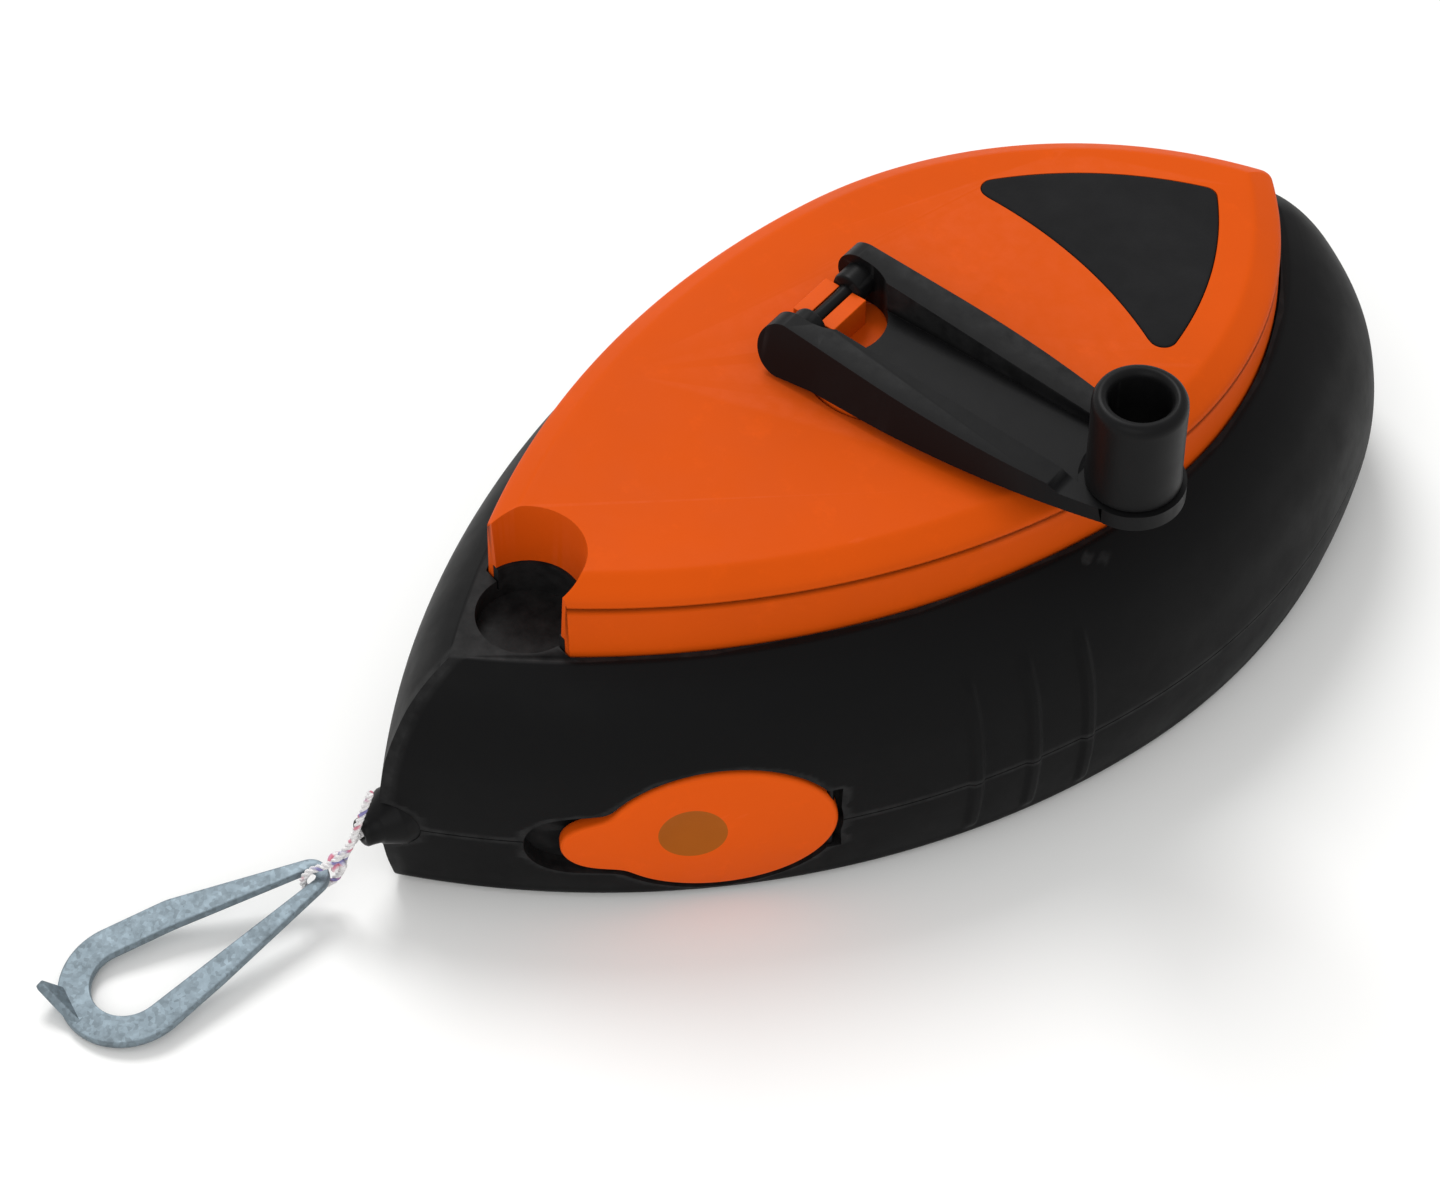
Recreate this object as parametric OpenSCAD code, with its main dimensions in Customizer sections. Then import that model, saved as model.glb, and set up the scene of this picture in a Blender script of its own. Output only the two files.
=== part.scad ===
// Chalk line reel: an almond-shaped two-part case with a raised cover, a fold-over crank,
// a snap-in fill gate, and a hook on the end of the line.
// Millimetres. The reel turns about Z at the origin, which lies on the face that the case rests on.
// -Y is the nose, where the line leaves; +X is the side with the fill gate.

/* [Case] */
// Half of the case's width at its widest level
case_half_w = 47.2; // [46:0.2:48.4]
// Half of the case's width at its top rim
rim_half_w = 36.3; // [35.9:0.1:36.8]
// Height of the top rim
case_h = 40.5; // [40:0.1:41]
// Height of the joint between the two halves of the case
parting_h = 14; // [13:0.5:15]
// Wall thickness of the case
wall = 2.4; // [2:0.1:2.8]

/* [Cover] */
// Half of the cover's width
cover_half_w = 35; // [34.6:0.1:35.2]
// Height of the cover's flat top, measured at its middle
cover_top = 51; // [50.6:0.1:51.1]
// Slope of the cover's flat top, which is higher at the nose
cover_slope = 1.5; // [0:0.1:1.5]
// Width of the bevel between the cover's side and its flat top
bevel_w = 4.5; // [3:0.5:5]
// Height of that bevel
bevel_h = 2.5; // [1.5:0.1:3]
// Wall thickness of the cover
cover_wall = 2; // [1.6:0.1:2.4]

/* [Reel] */
// Radius of the spool's flanges
spool_r = 29; // [26:0.5:29.5]
// Radius of the wound line
winding_r = 20; // [14:0.5:26]
// Diameter of the line
line_d = 1.1; // [0.8:0.1:1.2]

/* [Crank] */
// Direction in which the unfolded crank points, counted from +X towards +Y
crank_dir = 15; // [0:1:45]
// Distance from the reel's axis to the crank's hinge pin
pin_reach = 10; // [9.5:0.1:10.5]
// Height of the hinge pin
pin_z = 56.5; // [56.3:0.1:57]
// Distance from the hinge pin to the knob's axis
arm_len = 52; // [50:0.5:54]
// Radius of the knob
knob_r = 6.7; // [6:0.1:6.9]
// Height of the knob's top
knob_top = 72; // [70:0.5:76]

/* [Gate] */
// Half of the gate's length along the case's side
gate_half_l = 16.6; // [15:0.2:17]
// Half of the gate's height
gate_half_h = 11.9; // [10:0.1:12]
// Gap around the gate
gate_gap = 0.7; // [0.6:0.1:0.9]

/* [Hook] */
// Length of the hook
hook_len = 42; // [40:0.5:43]
// Width of the hook at its round end
hook_w = 20; // [18:0.5:21]
// Thickness of the hook's steel strip
hook_t = 1.4; // [1:0.1:1.6]

/* [Hidden] */
$fn = 64;
eps = 0.01;
run_gap = 0.05;   // radial clearance of a running fit
fit_gap = 0.1;    // clearance between fixed plastic parts

orange = "#e45c18";
black = "#1c1c1c";
grey = "#8d969c";
white = "#eeeeee";

// ---- Plan outlines -------------------------------------------------------------------------
// An almond outline is two mirrored pairs of arcs that meet at the widest place:
// [half width, y of the widest place, radius of the front arcs, radius of the rear arcs]
WIDE = [case_half_w, 11, 128, 104];
RIM = [rim_half_w, 13, 124.6, 69.8];
COVER = [cover_half_w, 13, 123.3, 68.5];
tail_r = 35;      // radius of the case's round tail at its widest level
ring_n = 18;      // points along a front or a rear arc

function arc_r(o, y) = y < o[1] ? o[2] : o[3];
function half_w(o, y, t) = sqrt(max(0, pow(arc_r(o, y) - t, 2) - pow(y - o[1], 2))) - arc_r(o, y) + o[0];
function nose_y(o, t) = o[1] - sqrt(pow(o[2] - t, 2) - pow(o[2] - o[0], 2));
function tail_y(o, t) = o[1] + sqrt(pow(o[3] - t, 2) - pow(o[3] - o[0], 2));

tail_cy = WIDE[1] + sqrt(pow(WIDE[3] - tail_r, 2) - pow(WIDE[3] - WIDE[0], 2));
function tail_join(t) = WIDE[1] + (tail_cy - WIDE[1]) * (WIDE[3] - t) / (WIDE[3] - tail_r);
function wide_half(y, t) = y > tail_join(t) ? sqrt(max(0, pow(tail_r - t, 2) - pow(y - tail_cy, 2)))
                                            : half_w(WIDE, y, t);

// u runs from -1 at the nose, through 0 at the widest place, to 1 at the tail
function along(u, nose, mid, tail) = u < 0 ? mid + u * (mid - nose) : mid + sin(90 * u) * (tail - mid);
function wide_pt(u, t) = let (y = along(u, nose_y(WIDE, t), WIDE[1], tail_cy + tail_r - t)) [wide_half(y, t), y];
function almond_pt(o, u, t) = let (y = along(u, nose_y(o, t), o[1], tail_y(o, t))) [half_w(o, y, t), y];
function mirrored(pts) = concat(pts, [for (i = [len(pts) - 2:-1:1]) [-pts[i][0], pts[i][1]]]);
function steps() = [for (i = [0:2 * ring_n]) i / ring_n - 1];
function almond(o, t) = mirrored([for (u = steps()) almond_pt(o, u, t)]);

// ---- Case form -----------------------------------------------------------------------------
// Height of each level, and how far it has moved from the widest outline to the rim outline
LEVELS = [[0, 0.24], [1, 0.15], [3, 0.1], [8, 0.03], [parting_h, 0], [20, 0.03], [26, 0.12],
          [31, 0.28], [35, 0.47], [38, 0.7], [case_h - 0.6, 0.92], [case_h, 1]];
function case_ring(z, t) = let (b = lookup(z, LEVELS))
    mirrored([for (u = steps()) (1 - b) * wide_pt(u, t) + b * almond_pt(RIM, u, t)]);
function lift(pts, z) = [for (p = pts) [p[0], p[1], z]];

// A solid through rings that all have the same number of points
module loft(rings) {
    n = len(rings[0]);
    last = (len(rings) - 1) * n;
    sides = [for (k = [0:n:last - n]) for (i = [0:n - 1]) let (j = (i + 1) % n)
             each [[k + i, k + n + i, k + n + j], [k + i, k + n + j, k + j]]];
    caps = [[for (i = [0:n - 1]) i], [for (i = [n - 1:-1:0]) last + i]];
    polyhedron(points = [for (r = rings) each r], faces = concat(sides, caps), convexity = 6);
}

// The case's outer form between two heights, moved inwards by t
module case_form(t, z0, z1) {
    heights = concat([z0], [for (l = LEVELS) if (l[0] > z0 + eps && l[0] < z1 - eps) l[0]], [z1]);
    loft([for (z = heights) lift(case_ring(z, t), z)]);
}

// ---- Side lathe: the case's front side as one surface of revolution ---------------------------
side_axis = [WIDE[0] - WIDE[2], WIDE[1]];
side_run = 10.3;  // how far the front side leans in from its widest level to the rim
module side_solid(t) {
    top = 30;
    profile = [for (l = LEVELS) if (l[0] <= top) [WIDE[2] - t - l[1] * side_run, l[0]]];
    translate([side_axis[0], side_axis[1], 0])
        rotate_extrude($fn = 180)
            polygon(concat([[90, 0]], profile, [[90, profile[len(profile) - 1][1]]]));
}

// ---- Places --------------------------------------------------------------------------------
deck_top = case_h - 2;
deck_bottom = deck_top - 2.5;
deck_hole_r = 30.5;
park_y = -(pin_reach + arm_len);      // where the folded crank's knob parks
park_r = knob_r + 0.6;
park_floor = 37;
slope_y = 19.5;                       // where cover_top is measured
cover_end = park_y + 0.2;             // where the cover stops at the nose
collar_top = 42.6;                    // the low wall behind the knob's pocket
collar_t = 1.1;
SCREWS = [[21, -40], [-21, -40], [20, 52], [-20, 52]];
screw_r = 1.2;
screw_head_r = 2.9;
screw_seat = 2.6;                     // depth of the counterbores in the case's underside
RIB_Y = [-17, -8, 1];
rib_w = 2.2;
rib_out = 0.55;                       // how far the ribs stand out of the side
rib_z = [3, 33];

module to_crank() rotate([0, 0, crank_dir]) children();

// Gate frame: local X is the outward normal, local Y runs along the side towards the tail
gate_dir = -31.3;
gate_at = [28.5, -55.5];
gate_mid = [4.4, 14.3];               // the oval's centre: along the side, and height
tab_mid = [-13.4, 12.8];              // the finger tab's round end
tab_r = 4.9;
hollow_mid = [-17, 13.3];             // the finger hollow beyond the tab
hollow_r = 6.4;
gate_t = 2.1;
pin_along = gate_mid[0] + gate_half_l - 1.2;
pin_deep = 1.25;                      // depth of the pin's axis below the case's side
pin_r = 0.5;
pin_z0 = 7.2;
pin_z1 = 21.4;
gate_swing_r = 1.78;                  // room for the gate's rear end as it swings
gate_swing_h = 12.4;
dimple_at = [9.2, 0.4, 15.3];         // centre of the ball that hollows the gate, in the gate frame
dimple_r = 10.4;
seal_t = 0.6;
seat_deep = gate_t + seal_t + 0.2;
pad_deep = 4.6;

module at_gate() translate([gate_at[0], gate_at[1], 0]) rotate([0, 0, gate_dir]) children();
module at_gate_pin(z, deeper = 0) at_gate()
    translate([sqrt(pow(WIDE[2], 2) - pow(pin_along, 2)) - WIDE[2] - pin_deep - deeper, pin_along, z]) children();
// A prism through the side, its outline given as [along the side, height]
module through_side(depth = 9) at_gate() translate([-depth, 0, 0]) rotate([90, 0, 90])
    linear_extrude(depth + 6) children();
module oval(grow) translate(gate_mid)
    polygon([for (i = [0:47]) [(gate_half_l + grow) * cos(i * 7.5), (gate_half_h + grow) * sin(i * 7.5)]]);
module gate_outline(grow) {
    oval(grow);
    translate(tab_mid) circle(tab_r + grow);
    translate([tab_mid[0], tab_mid[1] - tab_r - grow]) square([8, 2 * (tab_r + grow)]);
}

// ---- Case ------------------------------------------------------------------------------------
module gate_pad() {
    difference() {
        intersection() {
            through_side(14) {
                oval(3.6);
                translate(hollow_mid) circle(hollow_r + 2.6);
            }
            side_solid(wall / 2);
        }
        side_solid(pad_deep);
    }
}
module gate_cuts() {
    difference() {
        through_side() gate_outline(gate_gap);
        side_solid(seat_deep);
    }
    difference() {
        through_side() translate(hollow_mid) circle(hollow_r);
        side_solid(seat_deep + 0.6);
    }
    through_side(16) oval(-2.6);
    at_gate_pin(pin_z0 - 0.2) cylinder(r = pin_r + run_gap, h = pin_z1 - pin_z0 + 0.4);
    at_gate_pin(gate_mid[1] - gate_swing_h / 2) cylinder(r = gate_swing_r, h = gate_swing_h);
}
module gate_pin_boss(z0, z1) intersection() {
    at_gate_pin(z0, 1.4) cylinder(r = 2.6, h = z1 - z0);
    side_solid(wall / 2);
}

module side_ribs(z0, z1) intersection() {
    case_form(-rib_out, z0, z1);
    for (y = RIB_Y)
        translate([-60, y - rib_w / 2, 0]) cube([120, rib_w, 60]);
}

nozzle_r = 4.4;
module nozzle_hole() translate([0, -60, parting_h]) rotate([90, 0, 0]) cylinder(r = nozzle_r + fit_gap, h = 40);

module lower_shell() color(black) {
    difference() {
        union() {
            difference() {
                case_form(0, 0, parting_h);
                case_form(wall, wall, parting_h + 1);
            }
            difference() {
                side_ribs(rib_z[0], parting_h);
                case_form(wall / 2, 1, parting_h + 1);
            }
            intersection() {
                union() {
                    gate_pad();
                    gate_pin_boss(3, 8);
                }
                translate([0, -100, 1]) cube([60, 80, parting_h - 1]);
            }
            for (p = SCREWS)
                translate([p[0], p[1], 1]) cylinder(r = screw_head_r + 1.7, h = parting_h - 1);
            translate([0, 0, 1]) cylinder(r = lower_bush_r + 2.5, h = 5.4);
            felt_cradle(wall - 0.4, parting_h);
        }
        for (p = SCREWS)
            translate([p[0], p[1], -1]) {
                cylinder(r = screw_head_r + 0.3, h = screw_seat + 1);
                cylinder(r = screw_r + 0.5, h = parting_h + 2);
            }
        translate([0, 0, bush_z]) cylinder(r = lower_bush_r + fit_gap, h = 6);
        gate_cuts();
        nozzle_hole();
    }
}

module upper_shell() color(black) {
    difference() {
        union() {
            difference() {
                case_form(0, parting_h, case_h);
                case_form(wall, parting_h - 1, deck_bottom);
            }
            difference() {
                side_ribs(parting_h, rib_z[1]);
                case_form(wall / 2, parting_h - 1, rib_z[1] + 1);
            }
            intersection() {
                union() {
                    gate_pad();
                    gate_pin_boss(20.6, 24.5);
                }
                translate([0, -100, parting_h]) cube([60, 80, 20]);
            }
            for (p = SCREWS)
                translate([p[0], p[1], parting_h])
                    cylinder(r = screw_r + 2.7, h = deck_bottom - parting_h + 0.5);
            felt_cradle(parting_h, deck_bottom + 0.5);
        }
        for (p = SCREWS)
            translate([p[0], p[1], parting_h - 1]) cylinder(r = screw_r + fit_gap, h = 15);
        translate([0, 0, deck_top]) linear_extrude(5) rounded_cover(-0.3);
        translate([0, 0, deck_bottom - 1]) cylinder(r = deck_hole_r, h = 6);
        translate([0, park_y, park_floor]) cylinder(r = park_r, h = 6);
        gate_cuts();
        nozzle_hole();
    }
    nose_deck();
    park_collar();
}

// The flat top of the nose, in front of the cover
module nose_deck() difference() {
    intersection() {
        translate([0, 0, deck_top - 0.5]) linear_extrude(case_h - deck_top + 0.5) polygon(almond(RIM, 0));
        translate([-30, cover_end - 0.3 - 40, 0]) cube([60, 40, 60]);
    }
    translate([0, park_y, park_floor]) cylinder(r = park_r, h = 6);
}

// The low wall behind the knob's pocket, which stands inside the cover's notch
module park_collar() difference() {
    translate([0, park_y, deck_top - 0.5]) cylinder(r = park_r + collar_t, h = collar_top - deck_top + 0.5);
    translate([0, park_y, park_floor]) cylinder(r = park_r, h = 20);
    translate([-30, cover_end - 60, 0]) cube([60, 60, 80]);
}

// Two ribs across the nose that hold the felt between them
felt_y = [-78, -72];
cradle_t = 1.5;
module felt_cradle(z0, z1) for (y = [felt_y[0] - cradle_t - 0.2, felt_y[1] + 0.2])
    intersection() {
        case_form(wall / 2, 1, deck_bottom + 1);
        difference() {
            translate([-12, y, z0]) cube([24, cradle_t, z1 - z0]);
            translate([0, y - 1, parting_h]) rotate([-90, 0, 0]) cylinder(r = line_d / 2 + 1, h = cradle_t + 2);
        }
    }

module case_screws() color(grey)
    for (p = SCREWS)
        translate([p[0], p[1], 0]) difference() {
            union() {
                translate([0, 0, screw_seat - 1.9]) cylinder(r = screw_head_r, h = 1.8);
                translate([0, 0, 2]) cylinder(r = screw_r, h = 22);
            }
            for (a = [0, 90])
                translate([0, 0, 1]) rotate([0, 0, a]) cube([3.2, 0.7, 1], center = true);
        }

// ---- Cover -----------------------------------------------------------------------------------
function top_z(y, drop) = cover_top - drop - (y - slope_y) * tan(cover_slope);
function sloped(pts, drop) = [for (p = pts) [p[0], p[1], top_z(p[1], drop)]];
module on_top() translate([0, slope_y, cover_top]) rotate([-cover_slope, 0, 0]) translate([0, -slope_y, 0]) children();

module cover_form(t, z0, lower) loft([
    lift(almond(COVER, t), z0),
    sloped(almond(COVER, t + 0.3), bevel_h + lower),
    sloped(almond(COVER, t + 1.4), bevel_h * 0.45 + lower),
    sloped(almond(COVER, t + bevel_w), lower)]);

cover_corner = 2.6;   // radius of the cover's corner at the tail
module rounded_cover(t) offset(r = cover_corner) offset(delta = -cover_corner) polygon(almond(COVER, t));

module park_notch() {
    translate([0, park_y, deck_top - 1]) cylinder(r1 = park_r, r2 = park_r + 1.4, h = 18);
    translate([0, park_y, deck_top - 1])
        cylinder(r = park_r + collar_t + fit_gap, h = collar_top + fit_gap - deck_top + 1);
}

module inlay_outline(grow) offset(r = inlay_corner + grow) offset(delta = -inlay_corner) difference() {
    polygon(almond(COVER, inlay_inset));
    translate([0, -37.5]) circle(r = 73, $fn = 180);
    translate([-60, -120]) square([120, 145]);
}
inlay_inset = 9.6;
inlay_corner = 2;
inlay_t = 1.2;
inlay_proud = 0.15;
hub_r = 11.5;
hub_floor = 50.4;
boss_h = 6.2;
bush_boss_z = 43.4;   // underside of the cover's boss, which holds the upper bush
upper_bush_r = 7;

module top_cover() color(orange) difference() {
    union() {
        difference() {
            intersection() {
                cover_form(0, deck_top + 0.05, 0);
                linear_extrude(60) rounded_cover(0);
            }
            cover_form(cover_wall, deck_top - 1, cover_wall);
        }
        intersection() {
            cover_form(0.5, deck_top + 0.05, 0.5);
            translate([0, park_y, deck_top]) cylinder(r = park_r + 4, h = 30);
        }
        translate([0, 0, bush_boss_z]) cylinder(r = upper_bush_r + 2.5, h = boss_h);
        translate([0, 0, hub_floor - 2.2]) cylinder(r = hub_r + 2.5, h = 2.6);
        intersection() {
            cover_form(0.5, deck_top + 0.05, 0.5);
            translate([0, 0, cover_top - 4.2]) linear_extrude(4) inlay_outline(1.5);
        }
    }
    translate([-60, cover_end - 60, 0]) cube([120, 60, 80]);
    park_notch();
    translate([0, 0, hub_floor]) cylinder(r = hub_r + 0.5, h = 9);
    translate([0, 0, 40]) cylinder(r = upper_bush_r + fit_gap, h = 12);
    on_top() translate([0, 0, -inlay_t]) linear_extrude(5) inlay_outline(0.1);
}

module grip_inlay() color(black)
    on_top() translate([0, 0, -inlay_t + 0.02]) linear_extrude(inlay_t + inlay_proud) inlay_outline(0);

// ---- Gate ------------------------------------------------------------------------------------
module fill_gate() color(orange) difference() {
    intersection() {
        through_side() gate_outline(0);
        difference() {
            side_solid(0);
            side_solid(gate_t);
        }
    }
    at_gate_pin(0) cylinder(r = pin_r + run_gap, h = 30);
    at_gate() translate(dimple_at) sphere(r = dimple_r);
}

module gate_seal() color(black) intersection() {
    through_side() difference() {
        oval(-0.6);
        oval(-2.4);
        translate([pin_along - 3.4, 0]) square([10, 40]);
    }
    difference() {
        side_solid(gate_t);
        side_solid(gate_t + seal_t);
    }
}

module gate_hinge_pin() color(grey) at_gate_pin(pin_z0) cylinder(r = pin_r, h = pin_z1 - pin_z0);

// ---- Line outlet -----------------------------------------------------------------------------
nozzle_tip = -91.5;
nozzle_cone = 86.5;  // distance in front of the reel's axis where the nozzle starts to narrow
module line_nozzle() color(black) translate([0, 0, parting_h]) rotate([90, 0, 0]) difference() {
    union() {
        translate([0, 0, nozzle_cone - 6.5]) cylinder(r = nozzle_r, h = 6.5);
        translate([0, 0, nozzle_cone]) cylinder(r1 = nozzle_r, r2 = 1.9, h = -nozzle_tip - nozzle_cone);
    }
    translate([0, 0, 79]) cylinder(r = line_d / 2 + 0.25, h = 20);
}

module felt_pad(z0, z1) intersection() {
    translate([-5.5, felt_y[0], z0]) cube([11, felt_y[1] - felt_y[0], z1 - z0]);
    case_form(wall + 0.3, 2, deck_bottom);
}
module felt_wiper_upper() color(white) felt_pad(parting_h + line_d / 2 + 0.05, parting_h + 6);
module felt_wiper_lower() color(white) felt_pad(parting_h - 6, parting_h - line_d / 2 - 0.05);

// ---- Reel ------------------------------------------------------------------------------------
hex_r = 5;           // corner radius of the spindle's six-sided middle
tip_hex_r = 3;       // and of its six-sided top
journal_r = 4;
shank_r = 5;         // radius of the crank hub's shank, which turns in the upper bush
core_r = 9;
flange_t = 1.6;
spool_z = [8, 41.4];
lower_bush_r = 6;
bush_z = 3;
module ring(r_out, r_in, h) difference() {
    cylinder(r = r_out, h = h);
    translate([0, 0, -1]) cylinder(r = r_in, h = h + 2);
}

module lower_bush() color(grey) translate([0, 0, bush_z]) ring(lower_bush_r, journal_r + run_gap, 4);
module thrust_washer() color(white) translate([0, 0, 7.1]) ring(8, journal_r + 0.3, 0.7);
module dust_washer() color(white) translate([0, 0, 41.8]) ring(9, shank_r + 0.4, 1.4);

module upper_bush() color(grey)
    translate([0, 0, bush_boss_z]) ring(upper_bush_r, shank_r + run_gap, boss_h + 0.7);

module spindle() color(grey) difference() {
    union() {
        translate([0, 0, bush_z + 0.2]) cylinder(r = journal_r, h = 5);
        translate([0, 0, spool_z[0] + 0.1]) cylinder(r = hex_r, h = spool_z[1] - spool_z[0] + 0.1, $fn = 6);
        translate([0, 0, 41]) cylinder(r = tip_hex_r, h = 8.6, $fn = 6);
    }
    translate([0, 0, 38]) cylinder(r = 1.45, h = 14);
}

module spool() color(black) difference() {
    union() {
        translate([0, 0, spool_z[0]]) cylinder(r = spool_r, h = flange_t);
        translate([0, 0, spool_z[0]]) cylinder(r = core_r, h = spool_z[1] - spool_z[0]);
        translate([0, 0, spool_z[1] - flange_t]) cylinder(r = spool_r, h = flange_t);
    }
    translate([0, 0, 7]) cylinder(r = hex_r + fit_gap, h = 36, $fn = 6);
}

module line_winding() color(white) rotate_extrude($fn = 96)
    let (z0 = spool_z[0] + flange_t + 0.1, z1 = spool_z[1] - flange_t - 0.1)
    polygon([[core_r + 0.1, z0], [winding_r - 2, z0], [winding_r - 0.5, z0 + 4.5], [winding_r, (z0 + z1) / 2],
             [winding_r - 0.5, z1 - 4.5], [winding_r - 2, z1], [core_r + 0.1, z1]]);

// ---- Crank -----------------------------------------------------------------------------------
ear_r = 4;
arm_floor = 53.2;
floor_t = 2;
disc_t = 2.6;           // thickness of the arm's end under the knob
arm_half_foot = 12.3;   // half of the arm's width at the hinge, at its underside
arm_half_crest = 10.3;  // and at the top of its rails
arm_half_knob = 7.4;
arm_crest = 60;
channel_half = 5.1;
window_r = 7.2;         // the open end of the channel, which is round towards the knob
window_on = 1.3;        // distance from the hinge pin to the middle of that round
knob_at = arm_len - pin_reach;
hub_t = 1.7;
lug_r = 3.6;      // the hub's lug carries the hinge pin
lug_w = 7.6;
lug_lip = 0.5;    // how far the lug reaches above the pin's axis, to snap over it
crank_pin_r = 1.1;

// A rod across the crank, in the place of the hinge pin
module hinge_rod(r, w) translate([-pin_reach, w / 2, pin_z]) rotate([90, 0, 0]) cylinder(r = r, h = w);

module crank_hub() color(orange) to_crank() difference() {
    union() {
        translate([0, 0, hub_floor + 0.2]) cylinder(r = hub_r, h = hub_t);
        translate([0, 0, 42]) cylinder(r = shank_r, h = hub_floor - 41.5);
        hinge_rod(lug_r, lug_w);
        translate([-pin_reach - lug_r, -lug_w / 2, hub_floor + hub_t])
            cube([2 * lug_r, lug_w, pin_z - hub_floor - hub_t]);
    }
    hinge_rod(crank_pin_r + run_gap, lug_w + 2);
    translate([-pin_reach - 2 * lug_r, -lug_w, pin_z + lug_lip]) cube([4 * lug_r, 2 * lug_w, lug_r]);
    translate([0, 0, 41]) rotate([0, 0, -crank_dir]) cylinder(r = tip_hex_r + fit_gap, h = 8.8, $fn = 6);
    translate([0, 0, 48]) cylinder(r = 1.5, h = 6);
    translate([0, 0, hub_floor + 0.4]) cylinder(r = hub_screw_r + 0.3, h = 6);
}
hub_screw_r = 3;

module hub_screw() color(grey) difference() {
    union() {
        translate([0, 0, hub_floor + 0.4]) cylinder(r = hub_screw_r, h = 1.6);
        translate([0, 0, 39]) cylinder(r = 1.4, h = hub_floor - 38);
    }
    for (a = [0, 90])
        translate([0, 0, hub_floor + 2]) rotate([0, 0, a]) cube([3.4, 0.7, 1.4], center = true);
}

// The arm from above at a height: straight near the hinge, then narrowing in a curve to the knob
function arm_half(s, z) =
    let (w = arm_half_foot - (arm_half_foot - arm_half_crest) * (z - arm_floor) / (arm_crest - arm_floor),
         u = max(0, s - 4) / (knob_at - 4))
    w - (w - arm_half_knob) * u * u;
function arm_edge(z) = [for (s = [-pin_reach - 6:4:knob_at]) [s, -arm_half(s, z)]];
function arm_end() = [for (a = [-90:10:90]) [knob_at + arm_half_knob * cos(a), arm_half_knob * sin(a)]];
function arm_ring(z) = let (near = arm_edge(z), n = len(near))
    concat(near, arm_end(), [for (i = [n - 1:-1:0]) [near[i][0], -near[i][1]]]);
// The arm seen from its side
module arm_side() {
    translate([-pin_reach, pin_z]) circle(ear_r);
    polygon([[-pin_reach, pin_z - ear_r], [-pin_reach + 6, arm_floor], [knob_at + 9, arm_floor],
             [knob_at + 9, arm_floor + disc_t], [knob_at - knob_r - 0.5, arm_floor + disc_t],
             [knob_at - knob_r - 0.8, arm_floor + disc_t + 1.2], [-pin_reach, pin_z + ear_r]]);
}
module arm_channel() translate([0, 0, arm_floor + floor_t]) linear_extrude(12) difference() {
    translate([-pin_reach, -channel_half]) square([arm_len, 2 * channel_half]);
    translate([knob_at, 0]) circle(arm_half_knob);
}
module arm_window() translate([-pin_reach + window_on, 0, 50]) linear_extrude(20) {
    translate([-20, -window_r]) square([20, 2 * window_r]);
    circle(window_r);
}
// Bosses on the inside of the ears, which hold the ends of the hinge pin
module ear_bosses() difference() {
    hinge_rod(2.6, 2 * window_r + 1);
    translate([-pin_reach - 5, -lug_w / 2 - 0.25, 50]) cube([10, lug_w + 0.5, 12]);
}
module crank_arm() color(black) to_crank() difference() {
    union() {
        difference() {
            intersection() {
                loft([for (z = [50, 62]) lift(arm_ring(z), z)]);
                translate([0, 20, 0]) rotate([90, 0, 0]) linear_extrude(40) arm_side();
            }
            arm_channel();
            arm_window();
        }
        ear_bosses();
    }
    hinge_rod(crank_pin_r + 0.02, 3 * arm_half_foot);
    translate([knob_at, 0, 50]) cylinder(r = 1.55, h = 10);
}

module crank_pin() color(black) to_crank() hinge_rod(crank_pin_r, 22);

knob_foot = arm_floor + disc_t + 0.2;
knob_sole = 3.4;     // thickness of the knob's bottom, inside its bore
knob_stud_r = 2.5;
knob_bore_r = 4.3;
module knob() color(black) to_crank() translate([knob_at, 0, knob_foot]) difference() {
    cylinder(r = knob_r, h = knob_top - knob_foot);
    translate([0, 0, knob_sole]) cylinder(r = knob_bore_r, h = 30);
    translate([0, 0, -1]) cylinder(r = knob_stud_r + run_gap, h = 6);
}

module knob_screw() color(grey) to_crank() translate([knob_at, 0, 0]) difference() {
    union() {
        translate([0, 0, knob_foot + knob_sole + 0.1]) cylinder(r = 3.7, h = 1.8);
        translate([0, 0, arm_floor + disc_t + eps]) cylinder(r = knob_stud_r, h = knob_sole + 0.5);
        translate([0, 0, arm_floor + 0.2]) cylinder(r = 1.5, h = 3);
    }
    for (a = [0, 90])
        translate([0, 0, knob_foot + 5.2]) rotate([0, 0, a]) cube([4.4, 0.8, 1.4], center = true);
}

// ---- Line and hook -----------------------------------------------------------------------------
function unit(v) = v / norm(v);
function heading(p, i) = unit(p[min(i + 1, len(p) - 1)] - p[max(i - 1, 0)]);
// A tube of radius r swept along the points p
module tube(p, r, sides = 8) {
    across = [1, 0.13, 0.31];   // any direction that the tube never takes
    loft([for (i = [0:len(p) - 1])
          let (d = heading(p, i), a = unit(cross(d, across)), b = cross(d, a))
          [for (k = [0:sides - 1]) p[i] + r * (cos(-k * 360 / sides) * a + sin(-k * 360 / sides) * b)]]);
}

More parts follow.
